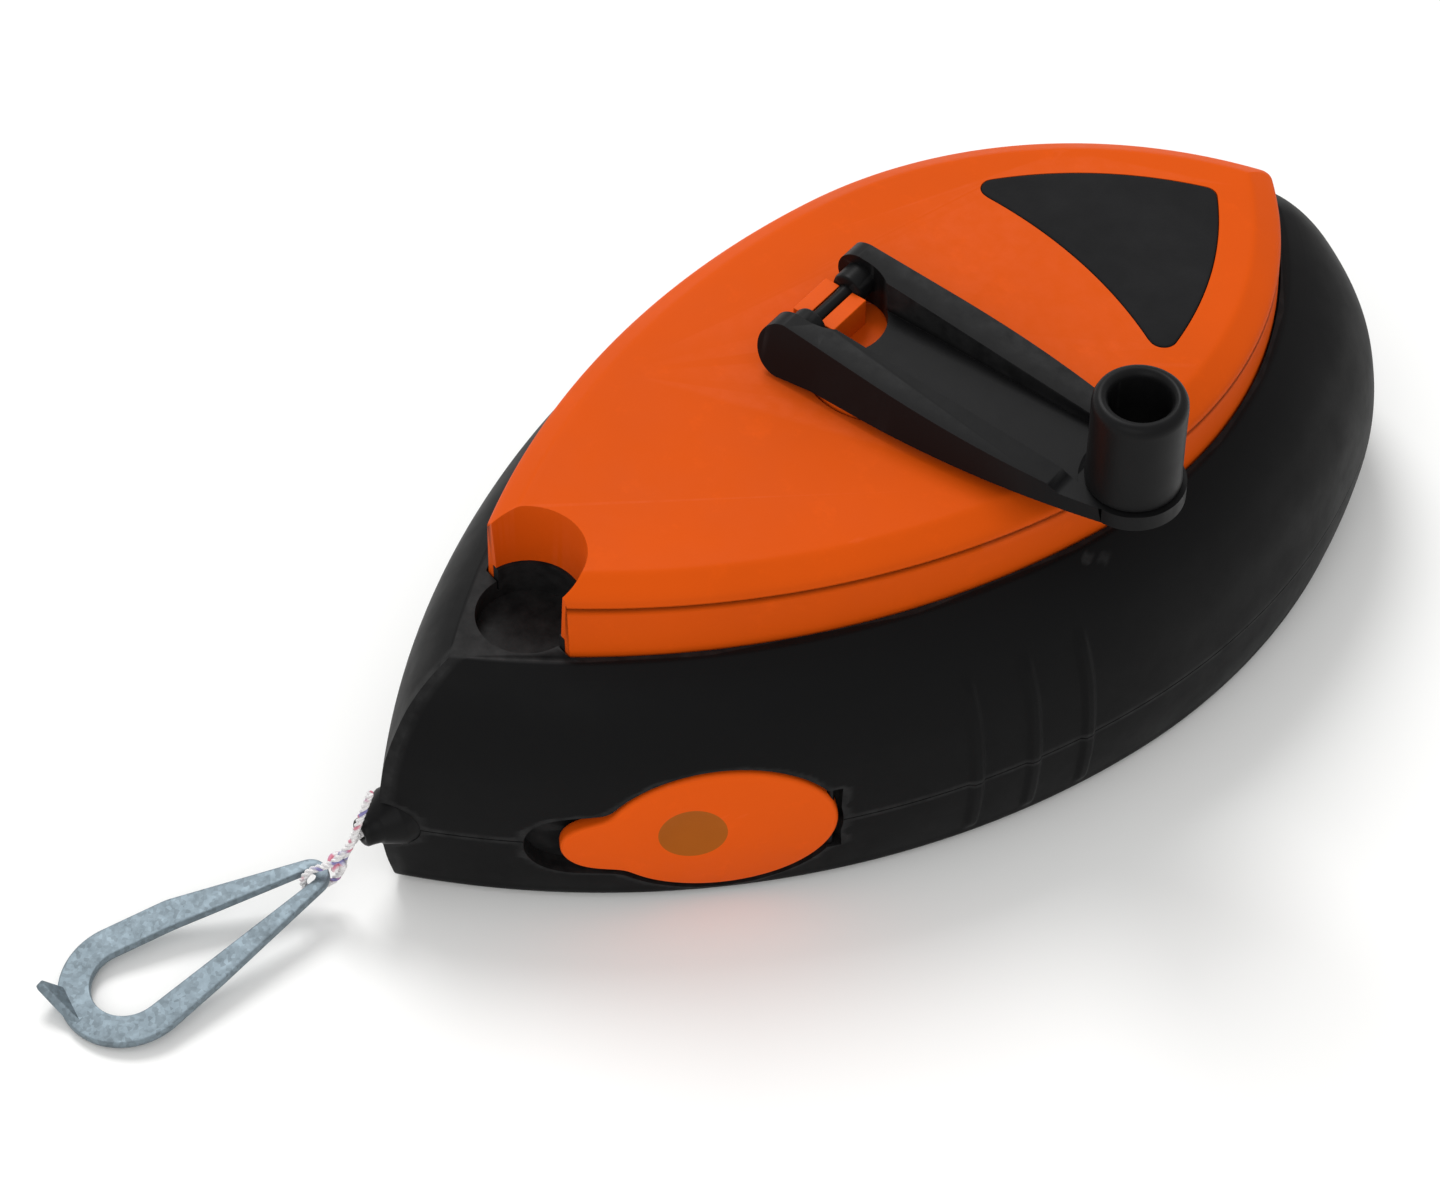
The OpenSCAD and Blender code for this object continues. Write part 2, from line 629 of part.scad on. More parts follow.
INNER_ROUTE = [[-20.2, -5, 22], [-13, -28, 19], [-7, -48, 16], [-2, -62, 14.4], [0, -69, 14], [0, -80, 14],
               [0, -91.5, 14]];
LEAD_ROUTE = [[0, -91.5, 14], [0, -93, 13.2], [-0.4, -94.6, 11.3], [-1, -95.8, 9.7], [-2, -97, 8.7],
              [-2.8, -98.4, 8.1], [-3.1, -99.4, 7], [-3.1, -99.5, 5.4], [-3, -98.6, 4.1], [-2.6, -97, 3.8],
              [-2, -95.3, 4.5], [-1.5, -94.3, 6.3], [-1.1, -94.1, 8.2], [-0.6, -93.9, 10.5], [0.2, -93.4, 13],
              [0.6, -92.7, 15.6], [0.8, -91.9, 18], [0.8, -90.8, 20.4], [0.9, -89.8, 22.8]];
module inner_line() color(white) tube(INNER_ROUTE, line_d / 2);
module line_lead() color(white) tube(LEAD_ROUTE, line_d / 2);
module line_knot() color(white) translate([-1.1, -94.9, 9.1]) sphere(r = 1.6, $fn = 24);

// Hook frame: the origin is the middle of the round end, Y runs to the narrow end, Z is the strip's normal
hook_at = [-5.3, -127.2];
hook_turn = -4.5;
hook_tilt = 8;
round_r = hook_w / 2;
eye_r = 2.9;      // radius of the hook's narrow end
strip_w = 4.6;    // width of the strip at the round end
eye_y = hook_len - round_r - eye_r;
module at_hook() translate([hook_at[0], hook_at[1], round_r * sin(hook_tilt) + 0.15]) rotate([0, 0, hook_turn])
    rotate([hook_tilt, 0, 0]) children();
module teardrop(t) hull() {
    circle(round_r - t, $fn = 48);
    translate([0, eye_y]) circle(eye_r - min(t, eye_r - 1), $fn = 24);
}
// The pointed tab is bent up from a chord of the round end
tab_from = [-4.9, -8.6];
tab_w = 7.7;
module hook_tab() translate([tab_from[0], tab_from[1], 0.1]) rotate([0, 0, -6]) rotate([-57, 0, 0])
    linear_extrude(hook_t) polygon([[0, 0.5], [tab_w, 0.5], [tab_w, 0], [0.6, -4.8], [-0.2, -4.8]]);
module hook() color(grey) at_hook() {
    linear_extrude(hook_t) difference() {
        teardrop(0);
        teardrop(strip_w);
    }
    hook_tab();
}

lower_shell();
upper_shell();
top_cover();
grip_inlay();
case_screws();
fill_gate();
gate_seal();
gate_hinge_pin();
line_nozzle();
felt_wiper_upper();
felt_wiper_lower();
lower_bush();
upper_bush();
thrust_washer();
dust_washer();
spindle();
spool();
line_winding();
crank_hub();
hub_screw();
crank_arm();
crank_pin();
knob();
knob_screw();
inner_line();
line_lead();
line_knot();
hook();
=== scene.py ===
"""Looks of the chalk line reel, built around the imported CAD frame.

Shapes are worked out in millimetres in the frame of the part and brought to metres when a piece is made.
"""

import math

import bpy
import numpy as np
from mathutils import Matrix, Vector


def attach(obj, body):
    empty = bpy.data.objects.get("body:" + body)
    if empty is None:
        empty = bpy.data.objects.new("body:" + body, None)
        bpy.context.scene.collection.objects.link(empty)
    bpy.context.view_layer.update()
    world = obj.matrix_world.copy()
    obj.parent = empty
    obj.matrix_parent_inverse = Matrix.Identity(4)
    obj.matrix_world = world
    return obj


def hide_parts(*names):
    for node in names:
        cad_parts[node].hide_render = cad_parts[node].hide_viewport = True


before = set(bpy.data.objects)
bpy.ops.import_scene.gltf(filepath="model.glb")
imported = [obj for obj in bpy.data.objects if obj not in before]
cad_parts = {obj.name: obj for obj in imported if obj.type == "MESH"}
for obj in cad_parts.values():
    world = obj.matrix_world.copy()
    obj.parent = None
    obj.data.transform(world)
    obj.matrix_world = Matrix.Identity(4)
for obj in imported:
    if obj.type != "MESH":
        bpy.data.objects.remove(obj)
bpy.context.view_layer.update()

MM = 0.001

# ---- Driving dimensions, as in the CAD source ---------------------------------------------------
# Plan outlines: half width, y of the widest place, radius of the front and rear arcs, tail corner radius
HALF, WIDEST, FRONT, REAR, CORNER = range(5)
WIDE = (47.2, 11.0, 128.0, 104.0, 35.0)
RIM = (36.3, 13.0, 124.6, 69.8, 3.9)
COVER = (35.0, 13.0, 123.3, 68.5, 2.6)
WALL = 2.4
PARTING, PARTING_GAP = 14.0, 0.1
CASE_H = 40.5
DECK_TOP = 38.5
DECK_BOTTOM = 36.0
DECK_HOLE_R = 30.5
# Height of each level of the case, and how far it has moved from the widest outline to the rim
LEVELS = ((0, 0.24), (1, 0.15), (3, 0.1), (8, 0.03), (14, 0), (20, 0.03), (26, 0.12),
          (31, 0.28), (35, 0.47), (38, 0.7), (39.9, 0.92), (40.5, 1))
# Where the ribs are, how far they stand out, half their width at the foot, and the width of each flank
RIB_Y = (-17.0, -8.0, 1.0)
RIB_OUT, RIB_HALF, RIB_FLANK = 0.5, 1.35, 0.95
RIB_BOTTOM, RIB_TOP = 2.0, 33.5
NOZZLE_HOLE_R = 4.5
SCREWS = ((21.0, -40.0), (-21.0, -40.0), (20.0, 52.0), (-20.0, 52.0))
SCREW_BOSS_R, SCREW_BORE_R = 4.6, 1.7
SCREW_SEAT_R, SCREW_SEAT_DEEP = 3.2, 2.6

# The cover's top slopes down towards the tail, and is COVER_TOP high at SLOPE_Y
COVER_TOP = 51.0
SLOPE = math.tan(math.radians(1.5))
SLOPE_Y = 19.5
# The notch in the nose that the knob parks in, and the collar round its foot
PARK_Y = -62.0
PARK_R = 7.3
COVER_END = PARK_Y + 0.2
COLLAR_R, COLLAR_TOP = 8.4, 42.6
COVER_WALL = 2.0
BAND_LOW = 3.1
BUSH_BORE_R = 7.1
# Heights below and above the cover, for tools that go right through it
UNDER, OVER = 30, 60
INLAY_CORNER, INLAY_INSET = 2.0, 9.6
INLAY_ARC_Y, INLAY_ARC_R = -37.5, 73.0

# The gate's frame is upright and lies along the case's side: t runs towards the tail, z up
GATE_AT = np.array((28.5, -55.5))
GATE_DIR = math.radians(-31.3)
GATE_MID = (4.4, 14.3)
GATE_HALF = (16.6, 11.9)
TAB_MID, TAB_R = (-13.4, 12.8), 4.9
HOLLOW_MID, HOLLOW_R = (-17.0, 13.3), 6.4
DIMPLE_MID, DIMPLE_R, DIMPLE_OUT = (0.4, 15.3), 10.4, 9.2
GATE_GAP = 0.7
GATE_T = 2.1
GATE_ROUND = 0.62
SEAT_DEEP = 2.9
SEAL_W = 2.6
PAD_DEEP = 4.6
# How far the side beside the gate moves in, from the widest outline to the rim
SIDE_RUN = 10.3
GATE_PIN_DEEP, GATE_PIN_IN, GATE_PIN_R = 1.25, 1.2, 0.55
SWING_R, SWING_HALF = 1.78, 6.2

# The crank's frame is turned by CRANK from +X: s runs along the arm from the reel's axis
CRANK = math.radians(15)
PIN_S, PIN_Z = -10.0, 56.5
PIN_R, PIN_HALF = 1.1, 11.0
KNOB_S, KNOB_R, KNOB_FOOT, KNOB_TOP = 42.0, 6.7, 56.0, 72.0
KNOB_BORE_R, KNOB_STUD_R = 4.3, 2.55
HUB_R, HUB_Z = 11.5, 50.4
LUG_R, LUG_HALF, LUG_LIP = 3.6, 3.8, 0.5
# Half the arm's width at the foot of its sides, at their crest, and at the knob
ARM_FOOT, ARM_CREST, ARM_KNOB = 12.3, 10.3, 7.4
ARM_FLOOR, ARM_FLOOR_T, ARM_RISE = 53.2, 2, 6.8
DISC_T, EAR_R, BOSS_R = 2.6, 4.0, 2.6
CHANNEL, WINDOW_R, WINDOW_S = 5.1, 7.2, PIN_S + 1.3

HOOK_AT, HOOK_TURN, HOOK_TILT = (-5.3, -127.2), math.radians(-4.5), math.radians(8)
HOOK_R, HOOK_EYE_R, HOOK_EYE_Y, HOOK_T, STRIP_W = 10.0, 2.9, 29.1, 1.4, 4.6
HOOK_LIFT = 0.15
# The circle between the hook's bow and its eye: x, y and radius
HOOK_WAIST = (-0.5, 9.0, 8.5)

LEAD_ROUTE = ((0, -91.5, 14), (0, -93, 13.2), (-0.4, -94.6, 11.3), (-1, -95.8, 9.7), (-2, -97, 8.7),
              (-2.8, -98.4, 8.1), (-3.1, -99.4, 7), (-3.1, -99.5, 5.4), (-3, -98.6, 4.1), (-2.6, -97, 3.8),
              (-2, -95.3, 4.5), (-1.5, -94.3, 6.3), (-1.1, -94.1, 8.2), (-0.6, -93.9, 10.5), (0.2, -93.4, 13),
              (0.6, -92.7, 15.6), (0.8, -91.9, 18), (0.8, -90.8, 20.4), (0.9, -89.8, 22.8))
KNOT_AT = (-1.1, -94.9, 9.1)


# ---- Small mathematics --------------------------------------------------------------------------
def monotone(points):
    """A smooth curve through the points that never overshoots them (Fritsch and Carlson's slopes)."""
    xs, ys = (np.array(v, float) for v in zip(*points))
    step = np.diff(ys) / np.diff(xs)
    slope = np.concatenate(([step[0]], (step[:-1] + step[1:]) / 2, [step[-1]]))
    slope[1:-1][step[:-1] * step[1:] <= 0] = 0
    for i, s in enumerate(step):
        limit = 3 * abs(s)
        slope[i] = np.clip(slope[i], -limit, limit)
        slope[i + 1] = np.clip(slope[i + 1], -limit, limit)

    def value(x):
        i = np.clip(np.searchsorted(xs, x, "right") - 1, 0, len(step) - 1)
        h = xs[i + 1] - xs[i]
        t = (np.clip(x, xs[0], xs[-1]) - xs[i]) / h
        return (ys[i] * (1 + 2 * t) * (1 - t) ** 2 + slope[i] * h * t * (1 - t) ** 2
                + ys[i + 1] * t * t * (3 - 2 * t) + slope[i + 1] * h * t * t * (t - 1))

    return value


def ease(x):
    x = np.clip(x, 0, 1)
    return x * x * (3 - 2 * x)


def catmull(points, step):
    """Points about `step` apart on a smooth curve through the given ones."""
    p = np.array(points, float)
    p = np.vstack((2 * p[0] - p[1], p, 2 * p[-1] - p[-2]))
    out = []
    for a, b, c, d in zip(p, p[1:], p[2:], p[3:]):
        n = max(2, int(np.linalg.norm(c - b) / step))
        for t in np.arange(n) / n:
            out.append(0.5 * (2 * b + (c - a) * t + (2 * a - 5 * b + 4 * c - d) * t * t
                              + (3 * b - a - 3 * c + d) * t ** 3))
    return np.array(out + [p[-2]])


# ---- Plan outlines ------------------------------------------------------------------------------
def corner_of(o, t):
    """Centre y of the tail corner of an outline moved inwards by t, its radius, and where it begins."""
    r = max(o[CORNER] - t, 0.02)
    cy = o[WIDEST] + math.sqrt((o[REAR] - t - r) ** 2 - (o[REAR] - o[HALF]) ** 2)
    return cy, r, o[WIDEST] + (cy - o[WIDEST]) * (o[REAR] - t) / (o[REAR] - t - r)


def half_width(o, t, y):
    """Half the width at y of an outline moved inwards by t."""
    cy, r, join = corner_of(o, t)
    radius = np.where(y < o[WIDEST], o[FRONT], o[REAR])
    side = np.sqrt(np.maximum((radius - t) ** 2 - (y - o[WIDEST]) ** 2, 0)) - radius + o[HALF]
    return np.where(y > join, np.sqrt(np.maximum(r * r - (y - cy) ** 2, 0)), side)


def outline_y(o, t, u):
    """y along an outline moved inwards by t: u is -1 at the nose and 1 at the tail."""
    nose = o[WIDEST] - math.sqrt((o[FRONT] - t) ** 2 - (o[FRONT] - o[HALF]) ** 2)
    cy, r, _ = corner_of(o, t)
    rear = o[WIDEST] + np.sin(u * np.pi / 2) * (cy + r - o[WIDEST])
    return np.where(u < 0, o[WIDEST] + u * (o[WIDEST] - nose), rear)


U_PLAIN = np.concatenate((np.linspace(-1, 0, 91)[:-1], np.linspace(0, 1, 101)))
# The case's outline is much denser along the grip ribs, which lie from 32% to 8% of the way to the nose
U_RIBS = np.concatenate((np.linspace(-1, -0.32, 70)[:-1], np.linspace(-0.32, -0.08, 125)[:-1],
                         np.linspace(-0.08, 0, 9)[:-1], np.linspace(0, 1, 101)))


def mirrored(x, y):
    """A closed outline from its +X half, which runs from the nose to the tail."""
    return np.concatenate((np.stack((x, y), 1), np.stack((-x[-2:0:-1], y[-2:0:-1]), 1)))


def outline(o, t):
    y = outline_y(o, t, U_PLAIN)
    return mirrored(half_width(o, t, y), y)


level = monotone(LEVELS)


def case_ring(z, t, ribs=False):
    """The case's outline at a height, moved inwards by t."""
    b = float(level(z))
    yw, yr = outline_y(WIDE, t, U_RIBS), outline_y(RIM, t, U_RIBS)
    x = (1 - b) * half_width(WIDE, t, yw) + b * half_width(RIM, t, yr)
    y = (1 - b) * yw + b * yr
    if ribs:
        rise = ease((z - RIB_BOTTOM) / 2.5) * ease((RIB_TOP - z) / 3)
        across = sum(ease((RIB_HALF - np.abs(y - rib_y)) / RIB_FLANK) for rib_y in RIB_Y)
        x = x + RIB_OUT * rise * across
    return at_height(mirrored(x, y), z)


def at_height(pts, z):
    z = np.broadcast_to(z, len(pts))
    return np.column_stack((pts, z))


def moved_out(pts, d):
    """A dense closed outline moved outwards by d along its normals."""
    tangent = np.roll(pts, -1, 0) - np.roll(pts, 1, 0)
    normal = np.stack((tangent[:, 1], -tangent[:, 0]), 1)
    normal /= np.linalg.norm(normal, axis=1)[:, None] + 1e-12
    return pts + d * normal


# ---- Meshes -------------------------------------------------------------------------------------
def mesh_object(name, verts, faces):
    mesh = bpy.data.meshes.new(name)
    mesh.from_pydata([tuple(map(float, v)) for v in verts], [], faces)
    mesh.validate()
    obj = bpy.data.objects.new(name, mesh)
    bpy.context.scene.collection.objects.link(obj)
    return obj


def ring_faces(count, n):
    faces = []
    for k in range(count - 1):
        a, b = k * n, (k + 1) * n
        faces += [(a + i, a + (i + 1) % n, b + (i + 1) % n, b + i) for i in range(n)]
    return faces


def loft(name, rings, closed=False):
    """A solid through rings of points that run anticlockwise seen from its last ring."""
    n = len(rings[0])
    faces = ring_faces(len(rings), n)
    if closed:
        a = (len(rings) - 1) * n
        faces += [(a + i, a + (i + 1) % n, (i + 1) % n, i) for i in range(n)]
    else:
        faces.append(tuple(range(n - 1, -1, -1)))
        faces.append(tuple((len(rings) - 1) * n + i for i in range(n)))
    return mesh_object(name, np.vstack(rings), faces)


def prism(name, pts, z0, z1):
    return loft(name, [at_height(pts, z0), at_height(pts, z1)])


def circle(r, n, at=(0, 0)):
    a = np.arange(n) * 2 * np.pi / n
    return np.stack((at[0] + r * np.cos(a), at[1] + r * np.sin(a)), 1)


def lathe(name, profile, n, at=(0, 0, 0)):
    """A solid of revolution about Z: (radius, height) pairs go up the outside from the axis to the axis."""
    rings = [at_height(circle(max(r, 1e-3), n), z) + np.array(at) for r, z in profile]
    return loft(name, rings)


def hollow_lathe(name, profile, n):
    """A ring of revolution: the profile is a closed loop, up the outside and down the inside."""
    return loft(name, [at_height(circle(r, n), z) for r, z in profile], closed=True)


def box(name, lo, hi):
    pts = np.array(((lo[0], lo[1]), (hi[0], lo[1]), (hi[0], hi[1]), (lo[0], hi[1])), float)
    return prism(name, pts, lo[2], hi[2])


def turned(obj, matrix):
    obj.data.transform(matrix)
    return obj


def bake(obj):
    """Applies the object's modifiers."""
    graph = bpy.context.evaluated_depsgraph_get()
    mesh = bpy.data.meshes.new_from_object(obj.evaluated_get(graph))
    obj.modifiers.clear()
    obj.data = mesh
    return obj


def join_solid(obj, tool, operation="DIFFERENCE"):
    """Cuts, joins or intersects a solid with a tool, which is used up."""
    cutter = obj.modifiers.new("cut", "BOOLEAN")
    cutter.operation = operation
    cutter.solver = "EXACT"
    cutter.object = tool
    bake(obj)
    bpy.data.objects.remove(tool)
    return obj


def rounded_edges(obj, width, segments, angle):
    """Rounds the edges at which faces meet at more than `angle` degrees."""
    bevel = obj.modifiers.new("round", "BEVEL")
    bevel.width = width
    bevel.segments = segments
    bevel.limit_method = "ANGLE"
    bevel.angle_limit = math.radians(angle)
    bevel.use_clamp_overlap = True
    bevel.miter_outer = "MITER_ARC"
    return bake(obj)


def piece(obj, body, material, slot, *nodes, sharp=50):
    """Finishes a piece: scale, shading, material, and what it rides on and stands for."""
    obj.data.transform(Matrix.Scale(MM, 4))
    obj.data.shade_smooth()
    obj.data.set_sharp_from_angle(angle=math.radians(sharp))
    weighted = obj.modifiers.new("normals", "WEIGHTED_NORMAL")
    weighted.keep_sharp = True
    obj.data.materials.clear()
    obj.data.materials.append(material)
    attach(obj, body)
    if nodes:
        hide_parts(*nodes)
    return obj


# ---- Materials ----------------------------------------------------------------------------------
class Nodes:
    """A material's node tree with short ways to add what the finishes share."""

    def __init__(self, name):
        self.material = bpy.data.materials.new(name)
        self.material.use_nodes = True
        self.tree = self.material.node_tree
        self.shader = self.tree.nodes["Principled BSDF"]
        self.place = self.add("ShaderNodeTexCoord").outputs["Object"]

    def add(self, kind, **settings):
        node = self.tree.nodes.new(kind)
        for key, value in settings.items():
            setattr(node, key, value)
        return node

    def link(self, a, b):
        self.tree.links.new(a, b)

    def noise(self, scale, detail=3.0, rough=0.5, place=None):
        node = self.add("ShaderNodeTexNoise")
        node.inputs["Scale"].default_value = scale
        node.inputs["Detail"].default_value = detail
        node.inputs["Roughness"].default_value = rough
        self.link(place or self.place, node.inputs["Vector"])
        return node.outputs["Fac"]

    def spread(self, fac, low, high, from_low=0.3, from_high=0.7):
        node = self.add("ShaderNodeMapRange")
        node.inputs["From Min"].default_value = from_low
        node.inputs["From Max"].default_value = from_high
        node.inputs["To Min"].default_value = low
        node.inputs["To Max"].default_value = high
        self.link(fac, node.inputs["Value"])
        return node.outputs["Result"]

    def mix(self, fac, a, b):
        node = self.add("ShaderNodeMix", data_type="RGBA")
        self.link(fac, node.inputs["Factor"])
        for socket, value in ((node.inputs["A"], a), (node.inputs["B"], b)):
            if isinstance(value, tuple):
                socket.default_value = (*value, 1)
            else:
                self.link(value, socket)
        return node.outputs["Result"]

    def maths(self, operation, a, b):
        node = self.add("ShaderNodeMath", operation=operation)
        for socket, value in zip(node.inputs, (a, b)):
            if isinstance(value, (int, float)):
                socket.default_value = value
            else:
                self.link(value, socket)
        return node.outputs["Value"]

    def bump(self, height, distance, strength=1.0, under=None):
        node = self.add("ShaderNodeBump")
        node.inputs["Distance"].default_value = distance
        node.inputs["Strength"].default_value = strength
        self.link(height, node.inputs["Height"])
        if under is not None:
            self.link(under, node.inputs["Normal"])
        return node.outputs["Normal"]

    def set(self, **values):
        names = {"colour": "Base Color", "rough": "Roughness", "metal": "Metallic", "normal": "Normal",
                 "specular": "Specular IOR Level", "sheen": "Sheen Weight"}
        for key, value in values.items():
            socket = self.shader.inputs[names[key]]
            if isinstance(value, tuple):
                socket.default_value = (*value, 1)
            elif isinstance(value, (int, float)):
                socket.default_value = value
            else:
                self.link(value, socket)
        return self.material


def scaled(colour, k):
    return tuple(min(1.0, c * k) for c in colour)


def moulded(name, colour, rough, specular, grain=3200, grain_depth=1.2e-5, wear=0.25, swing=0.08):
    """Moulded plastic: spark-eroded grain, slow shade changes, small scuffs and paler worn edges."""
    n = Nodes(name)
    slow = n.noise(22, 4, 0.6)
    base = n.mix(n.spread(slow, 0, 1), scaled(colour, 1 - swing), scaled(colour, 1 + swing))
    scuffs = n.noise(160, 8, 0.72)
    base = n.mix(n.spread(scuffs, 0, 0.3, 0.56, 0.74), base, scaled(colour, 1.25))
    edge = n.add("ShaderNodeNewGeometry").outputs["Pointiness"]
    worn = n.maths("MULTIPLY", n.spread(edge, 0, wear, 0.53, 0.62), n.spread(n.noise(420, 5, 0.6), 0.2, 1))
    base = n.mix(worn, base, tuple(c + 0.06 for c in scaled(colour, 1.2)))
    fine = n.noise(grain, 2, 0.5)
    normal = n.bump(fine, grain_depth, 0.55)
    normal = n.bump(n.noise(260, 3, 0.5), 1.4e-5, 0.5, normal)
    roughness = n.spread(n.noise(90, 5, 0.65), rough - 0.06, rough + 0.08)
    return n.set(colour=base, rough=roughness, specular=specular, normal=normal)


def soft_touch(name, colour):
    """Soft-touch rubber: matte, with a leather-fine pebble and a light bloom."""
    n = Nodes(name)
    cells = n.add("ShaderNodeTexVoronoi")
    cells.inputs["Scale"].default_value = 1900
    n.link(n.place, cells.inputs["Vector"])
    bloom = n.spread(n.noise(45, 5, 0.65), 0, 1)
    base = n.mix(bloom, scaled(colour, 0.85), scaled(colour, 1.3))
    normal = n.bump(cells.outputs["Distance"], 3e-5, 0.6)
    normal = n.bump(n.noise(700, 3, 0.5), 2e-5, 0.5, normal)
    return n.set(colour=base, rough=n.spread(n.noise(120, 4, 0.6), 0.72, 0.88), specular=0.07, normal=normal)


def galvanised(name, colour):
    """Zinc-coated strip: small patches of spangle, a fine uneven surface and stains."""
    n = Nodes(name)
    spangle = n.add("ShaderNodeTexVoronoi")
    spangle.inputs["Scale"].default_value = 1700
    n.link(n.place, spangle.inputs["Vector"])
    shade = n.add("ShaderNodeSeparateColor")
    n.link(spangle.outputs["Color"], shade.inputs["Color"])
    base = n.mix(n.spread(shade.outputs["Red"], 0, 1, 0, 1), scaled(colour, 0.8), scaled(colour, 1.18))
    stains = n.noise(240, 6, 0.7)
    base = n.mix(n.spread(stains, 0, 0.6, 0.5, 0.7), base, scaled(colour, 0.5))
    normal = n.bump(n.noise(1500, 4, 0.6), 1.5e-5, 0.6)
    rough = n.spread(n.noise(500, 5, 0.6), 0.42, 0.6)
    return n.set(colour=base, metal=0.6, rough=rough, normal=normal)


def plated(name, colour, rough=0.28):
    """Zinc-plated, turned or blackened steel with a fine uneven surface."""
    n = Nodes(name)
    base = n.mix(n.spread(n.noise(300, 5, 0.6), 0, 1), scaled(colour, 0.8), scaled(colour, 1.1))
    normal = n.bump(n.noise(2600, 3, 0.5), 8e-6, 0.5)
    return n.set(colour=base, metal=1.0, rough=n.spread(n.noise(700, 4, 0.5), rough - 0.06, rough + 0.1),
                 normal=normal)


def twine(name, tracer):
    """White fibres, on the tracer strand marked here and there in red or blue."""
    n = Nodes(name)
    fibres = n.noise(5200, 3, 0.6)
    white = n.mix(n.spread(fibres, 0, 1), (0.62, 0.6, 0.6), (0.93, 0.92, 0.92))
    if tracer:
        marks = n.noise(520, 2, 0.4)
        tint = n.mix(n.spread(n.noise(330, 2, 0.4), 0, 1, 0.45, 0.55), (0.62, 0.16, 0.24), (0.17, 0.15, 0.4))
        white = n.mix(n.spread(marks, 0, 0.9, 0.44, 0.56), white, tint)
    normal = n.bump(fibres, 8e-5, 0.8)
    return n.set(colour=white, rough=0.85, specular=0.2, sheen=0.3, normal=normal)


def felt(name, colour):
    """Matted wool fibres."""
    n = Nodes(name)
    fibres = n.noise(2400, 6, 0.75)
    base = n.mix(n.spread(fibres, 0, 1), scaled(colour, 0.7), scaled(colour, 1.15))
    return n.set(colour=base, rough=0.95, specular=0.1, sheen=0.4, normal=n.bump(fibres, 1.6e-4, 0.9))


ORANGE = (0.57, 0.071, 0.003)
BLACK = (0.0045, 0.0045, 0.0047)
M_COVER = moulded("orange_cover", ORANGE, 0.48, 0.035, grain=2600, grain_depth=9e-6, wear=0.12, swing=0.05)
M_GATE = moulded("orange_gate", scaled(ORANGE, 1.16), 0.46, 0.05, grain=2600, grain_depth=9e-6, wear=0.12,
                 swing=0.05)
# The dimple's darker brown is painted shade standing in for the shade in its recess, not a colour of the
# plastic
M_DIMPLE_PAINTED_SHADE = moulded("dimple_painted_shade", (0.33, 0.085, 0.008), 0.6, 0.05, grain=2600, wear=0.0, swing=0.12)
M_HUB = moulded("orange_hub", scaled(ORANGE, 1.1), 0.42, 0.06, grain=2600, grain_depth=6e-6, wear=0.1,
                swing=0.05)
M_CASE = moulded("black_case", BLACK, 0.5, 0.06)
M_CRANK = moulded("black_crank", scaled(BLACK, 1.2), 0.4, 0.09, grain=2800, grain_depth=1e-5)
M_INLAY = soft_touch("black_inlay", (0.011, 0.011, 0.0115))
M_HOOK = galvanised("hook_zinc", (0.17, 0.215, 0.245))
M_ZINC = plated("zinc", (0.6, 0.6, 0.57))
M_STEEL = plated("turned_steel", (0.5, 0.5, 0.5), 0.34)
M_TWINE = twine("twine_white", False)
M_TRACER = twine("twine_tracer", True)
M_FELT = felt("wool_felt", (0.55, 0.53, 0.47))
M_BUSH = moulded("pale_bush", (0.62, 0.61, 0.56), 0.45, 0.4, wear=0.1)
M_PIN = plated("blackened_pin", (0.02, 0.02, 0.021), 0.45)
M_SEAL = soft_touch("black_seal", (0.012, 0.012, 0.012))


# ---- Camera -------------------------------------------------------------------------------------
def camera():
    """The photograph's view: 53 degrees round from -Y, 49 degrees up, about 0.69 m away."""
    cam = bpy.data.objects.new("camera", bpy.data.cameras.new("camera"))
    bpy.context.scene.collection.objects.link(cam)
    cam.location = (0.348365, -0.289387, 0.518460)
    cam.rotation_mode = "QUATERNION"
    cam.rotation_quaternion = Vector((-0.52776, 0.39435, -0.75230)).to_track_quat("-Z", "Y")
    cam.data.sensor_width = 36
    cam.data.lens = 115.36
    cam.data.clip_start, cam.data.clip_end = 0.01, 20
    bpy.context.scene.camera = cam


camera()


# ---- Line and knot ------------------------------------------------------------------------------
def strand_tube(points, radius, sides, turns_per_mm=0.0, offset=0.0, phase=0.0):
    """Vertices and faces of a strand that winds round the line through the points."""
    n = len(points)
    heading = np.gradient(points, axis=0)
    heading /= np.linalg.norm(heading, axis=1)[:, None]
    side = np.cross(heading[0], (0.3, 0.2, 1.0))
    side /= np.linalg.norm(side)
    along = np.concatenate(([0], np.cumsum(np.linalg.norm(np.diff(points, axis=0), axis=1))))
    rings = []
    for i in range(n):
        side = side - heading[i] * (side @ heading[i])
        side /= np.linalg.norm(side)
        up = np.cross(heading[i], side)
        a = phase + 2 * np.pi * turns_per_mm * along[i]
        centre = points[i] + offset * (math.cos(a) * side + math.sin(a) * up)
        b = np.arange(sides) * 2 * np.pi / sides + a
        rings.append(centre + radius * (np.cos(b)[:, None] * side + np.sin(b)[:, None] * up))
    verts = np.vstack(rings)
    faces = ring_faces(n, sides)
    faces.append(tuple(range(sides - 1, -1, -1)))
    faces.append(tuple((n - 1) * sides + i for i in range(sides)))
    return verts, faces


def twisted(name, route, strand=0.3, offset=0.26, pitch=2.6):
    """Three strands twisted together, and for each face whether it is on the tracer strand."""
    points = catmull(route, 0.22)
    verts, faces, which = [], [], []
    for k in range(3):
        v, f = strand_tube(points, strand, 7, 1 / pitch, offset, k * 2 * np.pi / 3)
        faces += [tuple(i + sum(map(len, verts)) for i in face) for face in f]
        which += [1 if k == 1 else 0] * len(f)
        verts.append(v)
    obj = mesh_object(name, np.vstack(verts), faces)
    return obj, which


